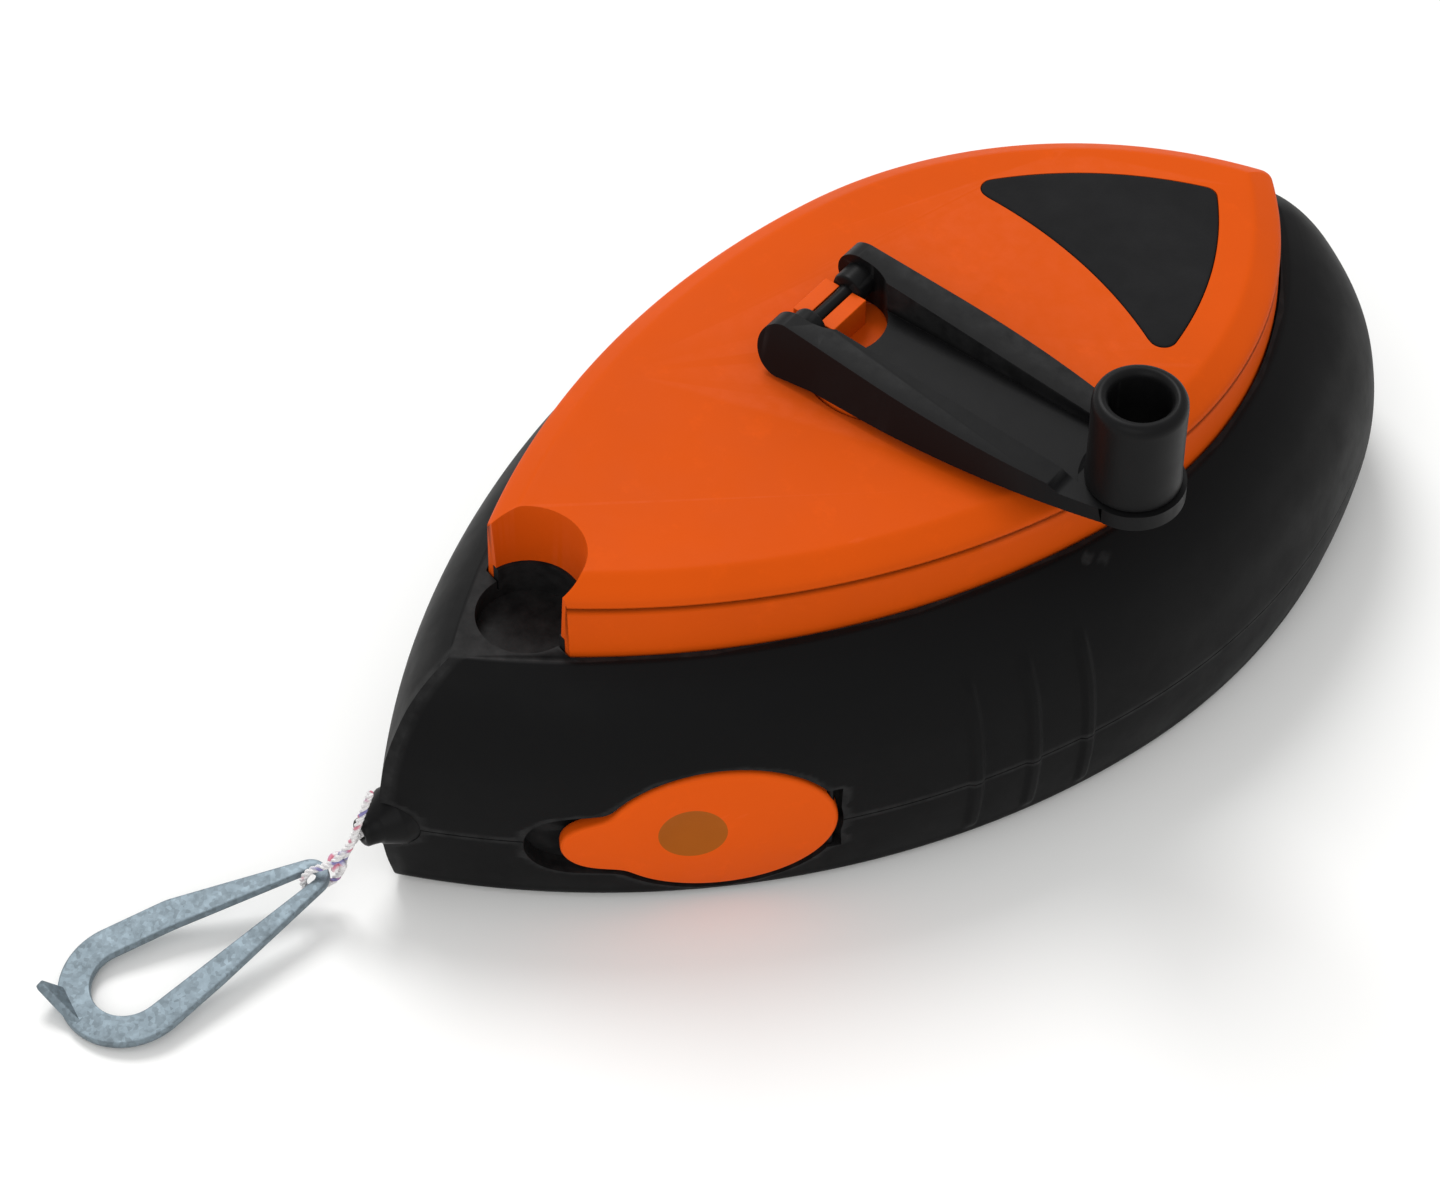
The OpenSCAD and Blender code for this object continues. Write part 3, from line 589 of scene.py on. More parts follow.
def line_lead():
    obj, which = twisted("line_lead_twine", LEAD_ROUTE)
    piece(obj, "case", M_TWINE, "line_white", "line_lead", sharp=80)
    obj.data.materials.append(M_TRACER)
    for face, index in zip(obj.data.polygons, which):
        face.material_index = index
    return obj


def line_knot():
    """A pulled-tight knot: a flattened trefoil, tilted."""
    t = np.linspace(0, 2 * np.pi, 150)
    swing = 0.72 + 0.42 * np.cos(3 * t)
    route = np.stack((swing * np.cos(2 * t), swing * np.sin(2 * t) * 0.95, 0.62 * np.sin(3 * t)), 1)
    turn = Matrix.Rotation(math.radians(58), 3, "X") @ Matrix.Rotation(math.radians(25), 3, "Z")
    route = route @ np.array(turn).T + np.array(KNOT_AT)
    verts, faces = strand_tube(route, 0.46, 9)
    obj = mesh_object("line_knot_twine", verts, faces)
    return piece(obj, "case", M_TRACER, "line_white", "line_knot", sharp=80)


# ---- Hook ---------------------------------------------------------------------------------------
def hull_of_circles(circles, angles):
    """The outline round some circles, one point for each direction of its normal."""
    normals = np.stack((np.cos(angles), np.sin(angles)), 1)
    reach = np.array([np.dot(normals, (x, y)) + r for x, y, r in circles])
    chosen = reach.argmax(0)
    return np.array([(circles[c][0] + circles[c][2] * n[0], circles[c][1] + circles[c][2] * n[1])
                     for c, n in zip(chosen, normals)])


def to_hook():
    """Takes the flat hook, made round its bow's centre, to where it leans on the floor."""
    lift = HOOK_R * math.sin(HOOK_TILT) + HOOK_LIFT
    return (Matrix.Translation((HOOK_AT[0], HOOK_AT[1], lift)) @ Matrix.Rotation(HOOK_TURN, 4, "Z")
            @ Matrix.Rotation(HOOK_TILT, 4, "X"))


def hook():
    """A teardrop loop of flat strip with a pointed tab bent up from its bow."""
    angles = np.arange(192) * 2 * np.pi / 192
    eye_in = HOOK_EYE_R - min(STRIP_W, HOOK_EYE_R - 1)
    outer = ((0, 0, HOOK_R), HOOK_WAIST, (0, HOOK_EYE_Y, HOOK_EYE_R))
    inner = ((0, 0, HOOK_R - STRIP_W), (*HOOK_WAIST[:2], HOOK_WAIST[2] - STRIP_W), (0, HOOK_EYE_Y, eye_in))

    def loop(circles, grow, z):
        grown = [(x, y, r + grow) for x, y, r in circles]
        return at_height(hull_of_circles(grown, angles), z)

    # Up the outside with rounded edges, then down the inside: (height, how far into the strip)
    r, mid = 0.3, 0.09
    rising = ((0, r), (mid, mid), (r, 0), (HOOK_T - r, 0), (HOOK_T - mid, mid), (HOOK_T, r))
    rings = [loop(outer, -inwards, z) for z, inwards in rising]
    rings += [loop(inner, inwards, z) for z, inwards in rising[::-1]]
    strip = loft("hook_strip", rings, closed=True)

    tab_outline = np.array(((0, 0.5), (-0.2, -4.8), (0.6, -4.8), (7.7, 0), (7.7, 0.5)), float)
    tab = prism("tab", tab_outline, 0, HOOK_T)
    rounded_edges(tab, 0.25, 2, 32)
    turned(tab, Matrix.Translation((-4.9, -8.6, 0.1)) @ Matrix.Rotation(math.radians(-6), 4, "Z")
           @ Matrix.Rotation(math.radians(-57), 4, "X"))
    join_solid(strip, tab, "UNION")
    turned(strip, to_hook())
    return piece(strip, "case", M_HOOK, "hook_steel", "hook", sharp=40)


lead = line_lead()
knot = line_knot()
hook_piece = hook()


# ---- Gate surfaces ------------------------------------------------------------------------------
def inside_gate(t, z, grow):
    """Which places on the case's side are inside the gate's outline, grown all round."""
    across, up = (t - GATE_MID[0]) / (GATE_HALF[0] + grow), (z - GATE_MID[1]) / (GATE_HALF[1] + grow)
    oval = across ** 2 + up ** 2 < 1
    r = TAB_R + grow
    end = (t - TAB_MID[0]) ** 2 + (z - TAB_MID[1]) ** 2 < r * r
    neck = (np.abs(z - TAB_MID[1]) < r) & (t > TAB_MID[0]) & (t < TAB_MID[0] + 8)
    return oval | end | neck


def inside_seat(t, z, grow):
    """The same for the gate's seat, which has a finger hollow beside the tab."""
    hollow = (t - HOLLOW_MID[0]) ** 2 + (z - HOLLOW_MID[1]) ** 2 < HOLLOW_R ** 2
    return inside_gate(t, z, grow) | hollow


def polar_outline(inside, grow, n=288, soften=4):
    """How far the outline is from the dimple's centre in each direction, with its inner corners softened."""
    a = np.arange(n) * 2 * np.pi / n
    r = np.arange(0, 30, 0.02)
    t = DIMPLE_MID[0] + np.outer(np.cos(a), r)
    z = DIMPLE_MID[1] + np.outer(np.sin(a), r)
    reach = np.array([r[np.nonzero(row)[0].max()] for row in inside(t, z, grow)])
    weights = np.exp(-0.5 * (np.arange(-12, 13) / soften) ** 2)
    weights /= weights.sum()
    padded = np.concatenate((reach[-12:], reach, reach[:12]))
    return a, np.convolve(padded, weights, "valid")


def on_side(t, z, depth):
    """Points at a depth below the case's side, from places along the gate's frame and heights."""
    r = WIDE[FRONT] - level(np.clip(z, 0, 30)) * SIDE_RUN
    n = np.sqrt(r * r - t * t) - WIDE[FRONT] - depth
    c, s = math.cos(GATE_DIR), math.sin(GATE_DIR)
    return np.stack((GATE_AT[0] + n * c - t * s, GATE_AT[1] + n * s + t * c, z + 0 * t), -1)


def side_ring(a, r, depth):
    """A ring on the case's side at radii r from the dimple's centre in directions a."""
    return on_side(DIMPLE_MID[0] + r * np.cos(a), DIMPLE_MID[1] + r * np.sin(a), depth)


def fan_faces(first, n, hub, outward=True):
    faces = [(first + i, first + (i + 1) % n, hub) for i in range(n)]
    return faces if outward else [f[::-1] for f in faces]


def disc_stack(name, a, rings):
    """A closed solid through rings on the case's side, each (radii, depth), with a point amid each end."""
    n = len(a)
    verts = [side_ring(a, r, d) for r, d in rings]
    first_mid = on_side(np.array(DIMPLE_MID[0]), np.array(DIMPLE_MID[1]), rings[0][1])
    last_mid = on_side(np.array(DIMPLE_MID[0]), np.array(DIMPLE_MID[1]), rings[-1][1])
    faces = ring_faces(len(rings), n)
    count = len(rings) * n
    faces += fan_faces(0, n, count, outward=False)
    faces += fan_faces(count - n, n, count + 1)
    return mesh_object(name, np.vstack(verts + [first_mid[None], last_mid[None]]), faces)


def gate_plate():
    """From the middle of the back, round the edge, and over the front into the dimple."""
    a, r = polar_outline(inside_gate, 0)
    rings = [(r * k, GATE_T) for k in (0.1, 0.3, 0.5, 0.7, 0.88)]
    rings += [(r - 0.35, GATE_T), (r - 0.1, GATE_T - 0.1), (r, GATE_T - 0.35), (r, 1.3), (r, GATE_ROUND)]
    for b in np.radians((15, 30, 45, 60, 75, 90)):
        rings.append((r - GATE_ROUND * (1 - math.cos(b)), GATE_ROUND * (1 - math.sin(b))))
    edge, dimple = r - GATE_ROUND, math.sqrt(DIMPLE_R ** 2 - DIMPLE_OUT ** 2)
    for k in np.linspace(0, 1, 18)[1:-1]:
        rings.append((edge + (dimple + 0.5 - edge) * k, 0.0))
    for q in (0.5, 0.3, 0.12, 0.0, -0.12, -0.3, -0.6):
        depth = 0.5 * (math.hypot(q, 0.35) - q) * 0.45
        rings.append((np.full_like(r, dimple + q), max(0.0, depth)))
    for q in np.linspace(dimple - 1, 0.15, 14):
        rings.append((np.full_like(r, q), math.sqrt(DIMPLE_R ** 2 - q * q) - DIMPLE_OUT))
    obj = disc_stack("fill_gate_plate", a, rings)
    pin = turned(prism("pin_bore", circle(GATE_PIN_R, 24), 0, 30), gate_pin_matrix())
    join_solid(obj, pin)
    piece(obj, "gate", M_GATE, "gate_orange", "fill_gate", sharp=38)
    # The faces in the dimple take the darker material: painted shade for the recess
    obj.data.materials.append(M_DIMPLE_PAINTED_SHADE)
    for face in obj.data.polygons:
        t, z, out = in_gate_frame(face.center)
        if math.hypot(t - DIMPLE_MID[0], z - DIMPLE_MID[1]) < dimple and out > -1.6:
            face.material_index = 1
    return obj


def in_gate_frame(point):
    """A point in metres as t, z and how far out of the case's side it is."""
    x, y, z = point[0] / MM - GATE_AT[0], point[1] / MM - GATE_AT[1], point[2] / MM
    c, s = math.cos(GATE_DIR), math.sin(GATE_DIR)
    return y * c - x * s, z, x * c + y * s


def gate_pin_matrix():
    """Takes the Z axis to the gate's hinge axis."""
    t = GATE_MID[0] + GATE_HALF[0] - GATE_PIN_IN
    n = math.sqrt(WIDE[FRONT] ** 2 - t ** 2) - WIDE[FRONT] - GATE_PIN_DEEP
    c, s = math.cos(GATE_DIR), math.sin(GATE_DIR)
    return Matrix.Translation((GATE_AT[0] + n * c - t * s, GATE_AT[1] + n * s + t * c, 0))


def seat_cutter():
    """The recess that the gate closes into, with clearance all round."""
    a, r = polar_outline(inside_seat, GATE_GAP)
    rings = [(r * k, SEAT_DEEP) for k in (0.15, 0.35, 0.55, 0.75, 0.9)] + [(r, SEAT_DEEP)]
    rings += [(r, d) for d in (1.8, 0.9, -0.5)] + [(r, -6)]
    return disc_stack("seat_cutter", a, rings)


def port_cutter():
    """The oval port behind the gate, smaller than it by the width of the seal."""
    a = np.arange(96) * 2 * np.pi / 96
    t = GATE_MID[0] + (GATE_HALF[0] - SEAL_W) * np.cos(a)
    z = GATE_MID[1] + (GATE_HALF[1] - SEAL_W) * np.sin(a)
    return loft("port_cutter", [on_side(t, z, d) for d in (14, 8, 3, 1, -6)])


def gate_pad():
    """The thicker wall behind the gate's seat, cut level just above the case's floor."""
    a, r = polar_outline(inside_seat, 3.4)
    high, lowest = DIMPLE_MID[1] + r * np.sin(a), 2.2
    r = np.where(high < lowest, (DIMPLE_MID[1] - lowest) / np.maximum(-np.sin(a), 1e-6), r)
    rings = [(r * k, PAD_DEEP) for k in (0.3, 0.6, 0.85)] + [(r, PAD_DEEP), (r, 3.2), (r, 1.4)]
    rings += [(r * k, 1.4) for k in (0.8, 0.4)]
    return disc_stack("gate_pad", a, rings)


# ---- Case ---------------------------------------------------------------------------------------
# Takes the Z axis to the nozzle's, which runs forwards along the parting plane
TO_NOZZLE = Matrix.Translation((0, 0, PARTING)) @ Matrix.Rotation(math.radians(90), 4, "X")


def case_solid(name, z0, z1, t, ribs=False, count=40):
    """The case's outside, moved inwards by t, between two heights, with extra levels near foot and rim."""
    extra = [z for z in (0.3, 0.6, 39, 39.5, 40.2) if z0 < z < z1]
    heights = sorted({z0, z1, *np.linspace(z0, z1, count), *extra})
    return loft(name, [case_ring(z, t, ribs) for z in heights])


def half_of(obj, z, keep_low):
    """Keeps the part of a solid below or above a height."""
    z0, z1 = (z, z + 200) if keep_low else (z - 200, z)
    return join_solid(obj, box("half", (-80, -120, z0), (80, 120, z1)))


def shared_cuts(obj, pad_low):
    """What both shells share: the gate's pad, seat, port and hinge clearance, and the nozzle's hole."""
    pad = half_of(gate_pad(), PARTING, pad_low)
    join_solid(obj, pad, "UNION")
    join_solid(obj, seat_cutter())
    join_solid(obj, port_cutter())
    swing = prism("swing", circle(SWING_R, 40), GATE_MID[1] - SWING_HALF, GATE_MID[1] + SWING_HALF)
    join_solid(obj, turned(swing, gate_pin_matrix()))
    return join_solid(obj, turned(prism("nozzle_hole", circle(NOZZLE_HOLE_R, 48), 60, 110), TO_NOZZLE))


def clipped(pts, y0):
    """The part of an outline behind y0."""
    x, y = pts[:, 0], pts[:, 1]
    half = int(np.argmax(y))
    right = pts[:half + 1][y[:half + 1] > y0]
    left = pts[half:][y[half:] > y0]
    xr = np.interp(y0, y[:half + 1], x[:half + 1])
    return np.vstack(((xr, y0), right, left[1:], (-xr, y0)))


def upper_shell():
    """The hollow upper half, let in for the cover, with the knob's collar and pocket."""
    obj = case_solid("upper_shell_skin", PARTING + PARTING_GAP, CASE_H, 0, ribs=True, count=52)
    join_solid(obj, case_solid("hollow", PARTING - 1, DECK_BOTTOM, WALL, count=14))
    shared_cuts(obj, False)
    seat = clipped(outline(COVER, -0.3), COVER_END - 0.3)
    join_solid(obj, prism("cover_seat", seat, DECK_TOP, 50))
    join_solid(obj, prism("deck_hole", circle(DECK_HOLE_R, 128), 30, 50))
    collar = prism("collar", circle(COLLAR_R, 96, (0, PARK_Y)), DECK_TOP - 0.4, COLLAR_TOP)
    join_solid(collar, box("front", (-30, COVER_END - 40, 0), (30, COVER_END, 80)))
    join_solid(obj, collar, "UNION")
    join_solid(obj, prism("park_pocket", circle(PARK_R, 96, (0, PARK_Y)), 37, 50))
    rounded_edges(obj, 0.3, 2, 48)
    return piece(obj, "case", M_CASE, "case_black", "upper_shell")


def lower_shell():
    """The tray-shaped lower half, with a boss for each case screw."""
    obj = case_solid("lower_shell_skin", 0, PARTING - PARTING_GAP, 0, ribs=True, count=34)
    join_solid(obj, case_solid("hollow", WALL, PARTING + 1, WALL, count=10))
    shared_cuts(obj, True)
    for x, y in SCREWS:
        boss = prism("boss", circle(SCREW_BOSS_R, 48, (x, y)), 1, PARTING - PARTING_GAP)
        join_solid(obj, boss, "UNION")
        join_solid(obj, prism("bore", circle(SCREW_BORE_R, 32, (x, y)), -1, 20))
        join_solid(obj, prism("counterbore", circle(SCREW_SEAT_R, 48, (x, y)), -1, SCREW_SEAT_DEEP))
    rounded_edges(obj, 0.3, 2, 48)
    return piece(obj, "case", M_CASE, "case_black", "lower_shell")


def nozzle():
    """A plug that narrows in two steps to the tip that the line leaves by."""
    profile = ((4.4, 80), (4.4, 86.2), (4.25, 86.6), (3.5, 87.9), (3.0, 88.8), (2.9, 89.0), (2.55, 89.2),
               (2.2, 90.6), (2.1, 91.2), (1.85, 91.45), (1.3, 91.5), (0.95, 91.35), (0.8, 91.0), (0.8, 80))
    obj = turned(hollow_lathe("line_nozzle_body", profile, 64), TO_NOZZLE)
    return piece(obj, "case", M_CRANK, "nozzle_black", "line_nozzle")


def case_screw(index, x, y):
    """A pan-headed screw with a cross slot, head down. The first one stands for all four in the CAD."""
    head = ((0.01, 0.72), (1.3, 0.75), (2.3, 0.98), (2.75, 1.4), (2.9, 1.9), (2.9, 2.5), (1.2, 2.5),
            (1.2, 22), (0.01, 23))
    obj = lathe(f"case_screw_{index}", head, 48, (x, y, 0))
    for turn in (20, 110):
        arm = box("slot", (-1.6, -0.32, 0), (1.6, 0.32, 1.5))
        turned(arm, Matrix.Rotation(math.radians(turn), 4, "Z"))
        join_solid(obj, turned(arm, Matrix.Translation((x, y, 0))))
    stands_for = ("case_screws",) if index == 1 else ()
    return piece(obj, "case", M_ZINC, "zinc_screws", *stands_for)


# ---- Cover --------------------------------------------------------------------------------------
def top_z(y, drop):
    """Height of the cover's top at y, less a drop."""
    return COVER_TOP - drop - (y - SLOPE_Y) * SLOPE


def cover_ring(t, drop):
    """The cover's outline moved inwards by t, at a drop below its top."""
    pts = outline(COVER, t)
    return at_height(pts, top_z(pts[:, 1], drop))


def cover_skin():
    """The cover's outside: an upright skirt, then a soft shoulder, a gently sloping band and a soft crest."""
    foot = DECK_TOP + 0.25
    rings = [at_height(outline(COVER, 0.1), DECK_TOP + 0.05), at_height(outline(COVER, 0), foot)]
    for k in np.linspace(0, 1, 8)[1:]:
        ring = cover_ring(0.25 * k, BAND_LOW)
        ring[:, 2] = foot + (ring[:, 2] - foot) * k
        rings.append(ring)
    # The drop below the top at each distance in from the outline
    band = ((0.34, 2.75), (0.52, 2.42), (0.9, 2.05), (1.6, 1.55), (3.0, 0.72), (3.7, 0.32), (4.2, 0.1),
            (4.6, 0.02), (5.2, 0))
    drop = monotone(((0.25, BAND_LOW), *band))
    between = (0.28, 0.42, 0.68, 1.2, 2.2, 3.4, 3.95, 4.4, 4.9)
    rings += [cover_ring(t, float(drop(t))) for t in sorted((*between, *(t for t, _ in band)))]
    return loft("top_cover_skin", rings)


def park_wall():
    """The wall round the notch that the knob parks in, kept inside the cover's skin."""
    wall = prism("park_wall", circle(PARK_R + 4, 96, (0, PARK_Y)), DECK_TOP + 0.1, 52.6)
    skin = [at_height(outline(COVER, 0.4), UNDER), cover_ring(0.7, 3.4), cover_ring(4.8, 0.5)]
    limit = loft("limit", skin)
    return join_solid(wall, limit, "INTERSECT")


def park_notch():
    """A round hole that widens by 1.4 mm on its way up."""
    low, high = 37.5, 55.5
    return loft("notch", [at_height(circle(r, 120, (0, PARK_Y)), z)
                          for r, z in ((PARK_R, low), (PARK_R + 1.4, high))])


def cover():
    """The hollow cover, with its notch, hub recess, bush bore and inlay pocket."""
    obj = cover_skin()
    inner = [at_height(outline(COVER, COVER_WALL), UNDER), cover_ring(COVER_WALL, 5), cover_ring(3.4, 3.3),
             cover_ring(6.5, 2.1)]
    join_solid(obj, loft("hollow", inner))
    join_solid(obj, park_wall(), "UNION")
    join_solid(obj, prism("hub_seat", circle(HUB_R + 3, 96), 47.6, 51.2), "UNION")
    join_solid(obj, box("nose_cut", (-60, -140, 0), (60, COVER_END, 80)))
    join_solid(obj, park_notch())
    collar = circle(COLLAR_R + 0.15, 120, (0, PARK_Y))
    join_solid(obj, prism("collar_room", collar, UNDER, COLLAR_TOP + 0.15))
    join_solid(obj, prism("hub_recess", circle(HUB_R + 0.5, 128), HUB_Z, OVER))
    join_solid(obj, prism("bush_bore", circle(BUSH_BORE_R, 64), UNDER, OVER))
    pocket = moved_out(inlay_outline(), 0.12)
    floor_of_pocket = at_height(pocket, top_z(pocket[:, 1], 1.2))
    join_solid(obj, loft("inlay_pocket", [floor_of_pocket, at_height(pocket, 58)]))
    rounded_edges(obj, 0.45, 3, 38)
    # A fine groove between the skirt and the band
    groove = [cover_ring(t, drop) for t, drop in ((-0.6, 3.3), (-0.6, 3.0), (0.5, 3.11), (0.5, 3.19))]
    join_solid(obj, loft("groove", groove[::-1], closed=True))
    return piece(obj, "case", M_COVER, "cover_orange", "top_cover")


def inlay_outline():
    """Three-cornered: two sides follow the cover, the third is an arc hollow towards the hub."""
    r = INLAY_ARC_R + INLAY_CORNER
    side = outline((*COVER[:CORNER], 0.0), INLAY_INSET + INLAY_CORNER)
    side = side[:len(side) // 2 + 1]
    outside = np.hypot(side[:, 0], side[:, 1] - INLAY_ARC_Y) > r
    right = side[outside & (side[:, 1] > 20)]
    start = math.atan2(right[0, 0], right[0, 1] - INLAY_ARC_Y)
    hollow = [(r * math.sin(a), INLAY_ARC_Y + r * math.cos(a)) for a in np.linspace(-start, start, 70)]
    left = np.stack((-right[-2::-1, 0], right[-2::-1, 1]), 1)
    return with_round_corners(np.vstack((right, left, np.array(hollow)[1:-1])), INLAY_CORNER)


def with_round_corners(pts, r):
    """Moves a closed anticlockwise outline outwards by r, with arcs at its corners."""
    out = []
    n = len(pts)
    for i in range(n):
        before, after = pts[i] - pts[i - 1], pts[(i + 1) % n] - pts[i]
        a0, a1 = math.atan2(-before[0], before[1]), math.atan2(-after[0], after[1])
        turn = (a1 - a0 + math.pi) % (2 * math.pi) - math.pi
        for k in np.linspace(0, 1, max(1, int(abs(turn) / 0.12) + 1)):
            a = a0 + turn * (k if abs(turn) > 0.12 else 0.5)
            out.append(pts[i] + r * np.array((math.cos(a), math.sin(a))))
    return np.array(out)


def inlay():
    """The soft pad, its edge rounded."""
    edge = inlay_outline()

    def ring(inset, z):
        pts = moved_out(edge, -inset)
        return at_height(pts, top_z(pts[:, 1], -z))

    # How far in from the edge, and the height over the cover's top
    section = ((0, -1.15), (0, -0.3), (0, -0.12), (0.05, 0.02), (0.16, 0.1), (0.32, 0.14), (0.6, 0.15))
    obj = loft("grip_inlay_pad", [ring(inset, z) for inset, z in section])
    return piece(obj, "case", M_INLAY, "inlay_black", "grip_inlay", sharp=40)


# ---- Crank --------------------------------------------------------------------------------------
TO_CRANK = Matrix.Rotation(CRANK, 4, "Z")
# Stands a prism up: its Y becomes height, and its X stays the crank's long axis
UPRIGHT = Matrix.Rotation(math.radians(90), 4, "X")


def side_prism(name, pts, half):
    """A prism across the crank: points are (along the crank, height)."""
    return turned(prism(name, np.array(pts, float), -half, half), UPRIGHT)


def arc(cx, cy, r, a0, a1, n):
    """Points on an arc from a0 to a1 degrees."""
    return [(cx + r * math.cos(a), cy + r * math.sin(a)) for a in np.radians(np.linspace(a0, a1, n))]


def arm_half(along, z):
    """Half of the arm's width: straight near the hinge, then narrowing in a curve to the knob."""
    w = ARM_FOOT - (ARM_FOOT - ARM_CREST) * (z - ARM_FLOOR) / ARM_RISE
    u = np.maximum(0, along - 4) / (KNOB_S - 4)
    return w - (w - ARM_KNOB) * u * u


def arm_ring(z):
    along = np.linspace(PIN_S - 6, KNOB_S, 60)
    near = np.stack((along, -arm_half(along, z)), 1)
    end = np.array(arc(KNOB_S, 0, ARM_KNOB, -90, 90, 49))[1:-1]
    return at_height(np.vstack((near, end, near[::-1] * (1, -1))), z)


def arm_channel():
    """The channel's floor runs up to a round step in front of the knob."""
    turn = math.degrees(math.asin(CHANNEL / (ARM_KNOB + 0.1)))
    step = arc(KNOB_S, 0, ARM_KNOB + 0.1, 180 + turn, 180 - turn, 25)
    pts = np.array([(PIN_S, -CHANNEL - 0.3)] + step + [(PIN_S, CHANNEL + 0.3)])
    top = pts * (1, 1.12)
    return loft("channel", [at_height(pts, ARM_FLOOR + ARM_FLOOR_T), at_height(top, 62)])


def arm_window():
    """The opening that the hub's lug stands in: a slot with a round end, open towards the hinge."""
    pts = [(PIN_S - 20, -WINDOW_R)] + arc(WINDOW_S, 0, WINDOW_R, -90, 90, 41) + [(PIN_S - 20, WINDOW_R)]
    return prism("window", np.array(pts), 45, 75)


def arm_side():
    """The arm seen from the side: round at the ears, sloping down to the disc under the knob."""
    disc_top = ARM_FLOOR + DISC_T
    crest = [(KNOB_S + 9, disc_top), (KNOB_S - 6.2, disc_top), (KNOB_S - 7.2, 56.2), (KNOB_S - 8.2, 56.8)]
    return arc(PIN_S, PIN_Z, EAR_R, 95, 270, 30) + [(PIN_S + 6, ARM_FLOOR), (KNOB_S + 9, ARM_FLOOR)] + crest


def crank_arm():
    """A tapering channel with two ears for the hinge pin and a disc under the knob."""
    obj = loft("crank_arm_body", [arm_ring(z) for z in (50, 62)])
    join_solid(obj, side_prism("side", arm_side(), 20), "INTERSECT")
    join_solid(obj, arm_channel())
    join_solid(obj, arm_window())
    for way in (-1, 1):
        profile = ((0.01, 3.9), (2.1, 3.9), (2.45, 4.1), (BOSS_R, 4.5), (BOSS_R, 7.6), (0.01, 7.6))
        boss = turned(lathe("boss", profile, 48), Matrix.Rotation(math.radians(90 * way), 4, "X"))
        join_solid(obj, turned(boss, Matrix.Translation((PIN_S, 0, PIN_Z))), "UNION")
    rounded_edges(obj, 0.7, 3, 30)
    turned(obj, TO_CRANK)
    return piece(obj, "crank", M_CRANK, "crank_black", "crank_arm")


def crank_pin():
    """The bar through the ears and the lug, a little worn in the middle."""
    half = ((1.0, 0.01), (1.0, 2.2), (1.08, 3.0), (PIN_R, 3.6), (PIN_R, PIN_HALF - 0.2), (0.9, PIN_HALF),
            (0.01, PIN_HALF))
    profile = [(r, -z) for r, z in half[::-1]] + list(half)
    obj = turned(lathe("crank_pin_bar", profile, 32), UPRIGHT)
    turned(obj, TO_CRANK @ Matrix.Translation((PIN_S, 0, PIN_Z)))
    return piece(obj, "crank", M_CRANK, "crank_black", "crank_pin")


def hub_lug():
    """The block that holds the crank's pin, open at the top so that the pin snaps in."""
    foot, lip = HUB_Z + 1.6, PIN_Z + LUG_LIP
    rise = math.degrees(math.asin(LUG_LIP / LUG_R))
    side = [(PIN_S - LUG_R, foot), (PIN_S + LUG_R, foot)] + arc(PIN_S, PIN_Z, LUG_R, 0, rise, 3)
    side += arc(PIN_S, PIN_Z, LUG_R, 180 - rise, 180, 3)
    lug = side_prism("lug", side, LUG_HALF)
    mouth = arc(PIN_S, PIN_Z, PIN_R + 0.1, 155, 385, 24)
    mouth += [(PIN_S + 1.4, lip + 0.5), (PIN_S - 1.4, lip + 0.5)]
    join_solid(lug, side_prism("mouth", mouth, 8))
    return rounded_edges(lug, 0.5, 3, 30)


def crank_hub():
    """The disc over the cover, its shank, and the lug that the crank hinges on."""
    disc = ((0.01, 50.6), (HUB_R - 0.3, 50.6), (HUB_R, 50.85), (HUB_R, 51.8), (HUB_R - 0.15, 52.15),
            (HUB_R - 0.5, 52.3), (3.8, 52.3), (3.4, 52.15), (3.3, 51.8), (3.3, 50.9), (0.01, 50.9))
    obj = lathe("crank_hub_body", disc, 128)
    shank = lathe("shank", ((0.01, 42), (5, 42), (5, 50.7), (0.01, 50.7)), 64)
    join_solid(obj, shank, "UNION")
    join_solid(obj, hub_lug(), "UNION")
    turned(obj, TO_CRANK)
    return piece(obj, "reel", M_HUB, "hub_orange", "crank_hub")


def knob():
    """A slightly waisted sleeve with a rounded rim and a deep bore, on a sole that its screw goes through."""
    r, foot, top, bore, stud = KNOB_R, KNOB_FOOT, KNOB_TOP, KNOB_BORE_R, KNOB_STUD_R
    outside = ((stud, foot), (r - 0.3, foot), (r - 0.05, foot + 0.15), (r, foot + 0.6), (r - 0.06, foot + 2),
               (r - 0.12, foot + 8), (r - 0.08, top - 1.8))
    rim = ((r - 0.14, top - 1.1), (r - 0.4, top - 0.5), (r - 0.8, top - 0.14), (r - 1.3, top),
           (r - 1.7, top - 0.06), (bore + 0.35, top - 0.35), (bore + 0.1, top - 0.8), (bore, top - 1.4))
    inside = ((bore, foot + 3.6), (bore - 0.2, foot + 3.4), (stud, foot + 3.4))
    profile = outside + rim + inside
    obj = hollow_lathe("knob_grip", profile, 96)
    turned(obj, TO_CRANK @ Matrix.Translation((KNOB_S, 0, 0)))
    return piece(obj, "knob", M_CRANK, "knob_black", "knob")


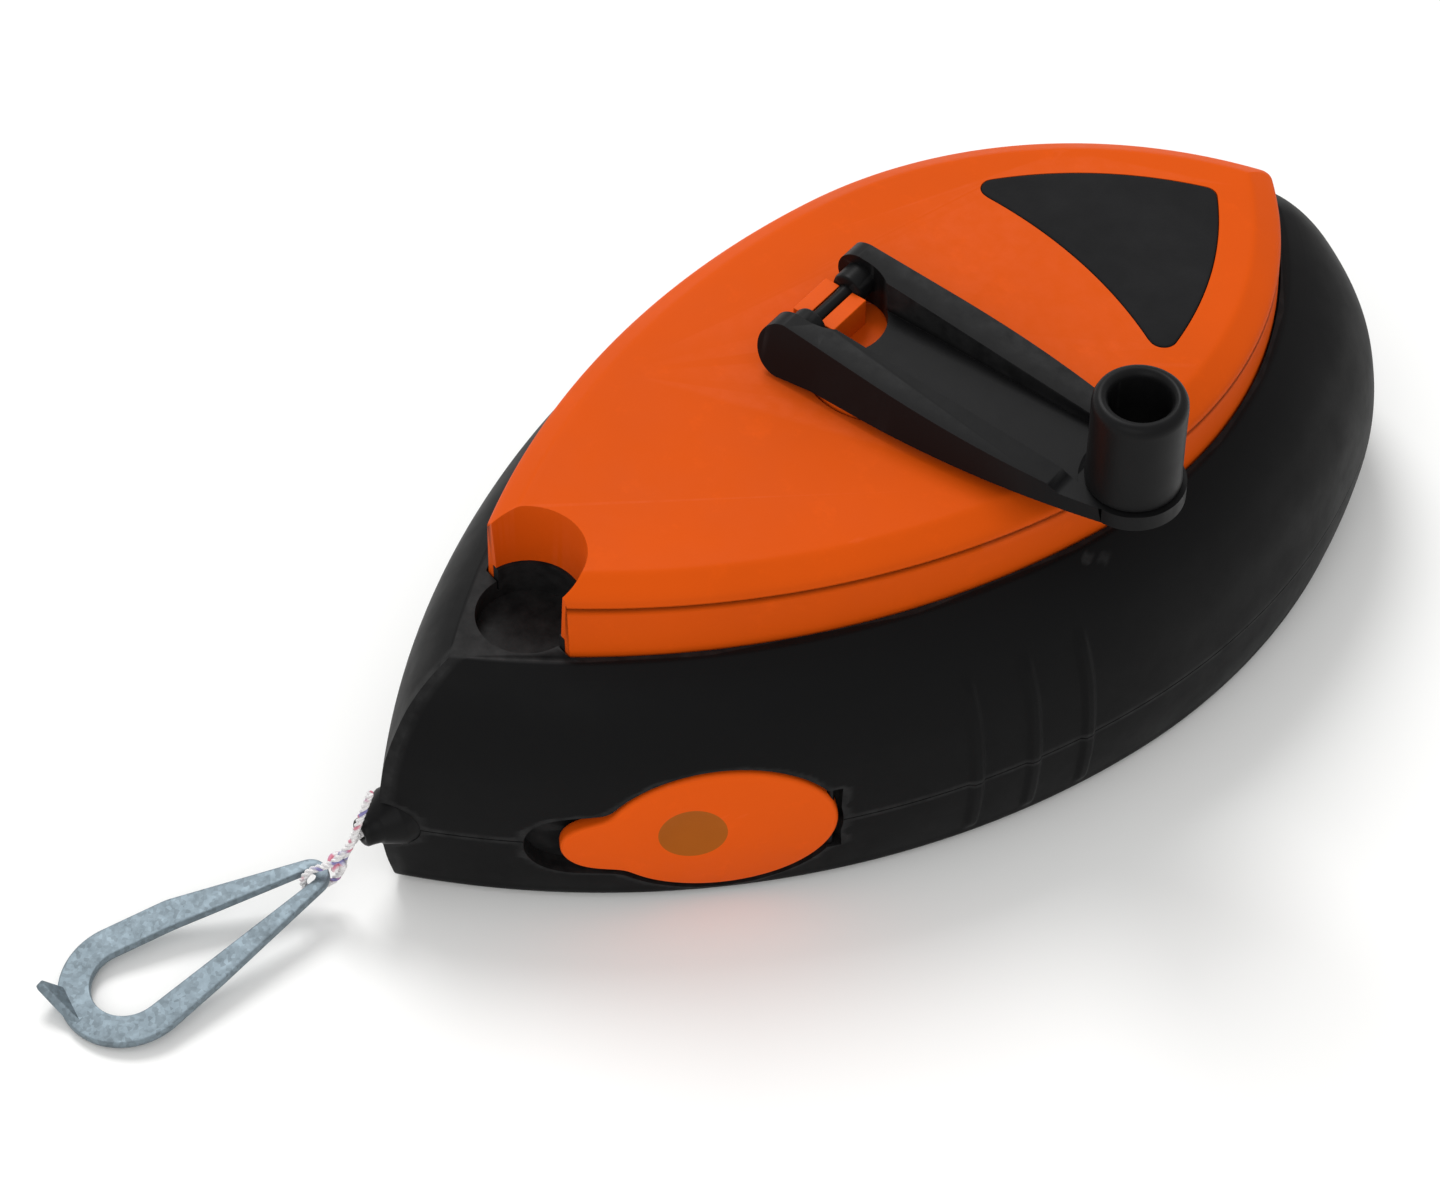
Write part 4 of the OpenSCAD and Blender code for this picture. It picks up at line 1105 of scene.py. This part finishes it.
# ---- Pieces that keep their CAD shape -----------------------------------------------------------
KEPT = {"gate_seal": M_SEAL, "gate_hinge_pin": M_PIN, "felt_wiper_upper": M_FELT, "felt_wiper_lower": M_FELT,
        "lower_bush": M_BUSH, "upper_bush": M_BUSH, "thrust_washer": M_BUSH, "dust_washer": M_FELT,
        "spindle": M_STEEL, "spool": M_CRANK, "line_winding": M_TWINE, "inner_line": M_TWINE,
        "hub_screw": M_ZINC, "knob_screw": M_ZINC}


def keep_cad_shapes():
    """Gives the pieces that keep their CAD shape their materials."""
    for node, material in KEPT.items():
        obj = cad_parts[node]
        for slot in obj.material_slots:
            slot.material = material


# ---- Floor and light ----------------------------------------------------------------------------
def floor():
    """A wide pale sheet just under the resting face."""
    n = Nodes("pale_floor")
    base = n.mix(n.spread(n.noise(3, 3), 0, 1), (0.86, 0.86, 0.85), (0.88, 0.88, 0.87))
    n.set(colour=base, rough=0.9, specular=0.1)
    pts = np.array(((-3000, -3000), (3000, -3000), (3000, 3000), (-3000, 3000)), float)
    obj = mesh_object("floor", at_height(pts, -0.05) * MM, [(0, 1, 2, 3)])
    obj.data.materials.append(n.material)


def area_light(name, place, target, size, watts):
    lamp = bpy.data.lights.new(name, "AREA")
    lamp.shape = "DISK"
    lamp.size = size
    lamp.energy = watts
    obj = bpy.data.objects.new(name, lamp)
    bpy.context.scene.collection.objects.link(obj)
    obj.location = place
    obj.rotation_mode = "QUATERNION"
    obj.rotation_quaternion = (Vector(target) - Vector(place)).to_track_quat("-Z", "Y")


def studio():
    """An even white surround, a soft key light and a weak fill."""
    world = bpy.data.worlds.new("studio")
    world.use_nodes = True
    world.node_tree.nodes["Background"].inputs["Color"].default_value = (1, 1, 1, 1)
    world.node_tree.nodes["Background"].inputs["Strength"].default_value = 0.8
    bpy.context.scene.world = world
    bpy.context.scene.view_settings.view_transform = "Standard"
    area_light("key", (-0.62, 0.18, 0.95), (0, 0, 0.03), 0.5, 7)
    area_light("fill", (0.5, -0.7, 0.6), (0, 0, 0.03), 0.8, 2)


upper_shell()
lower_shell()
cover()
inlay()
gate_plate()
nozzle()
for number, (sx, sy) in enumerate(SCREWS, 1):
    case_screw(number, sx, sy)
crank_hub()
crank_arm()
crank_pin()
knob()
keep_cad_shapes()
floor()
studio()
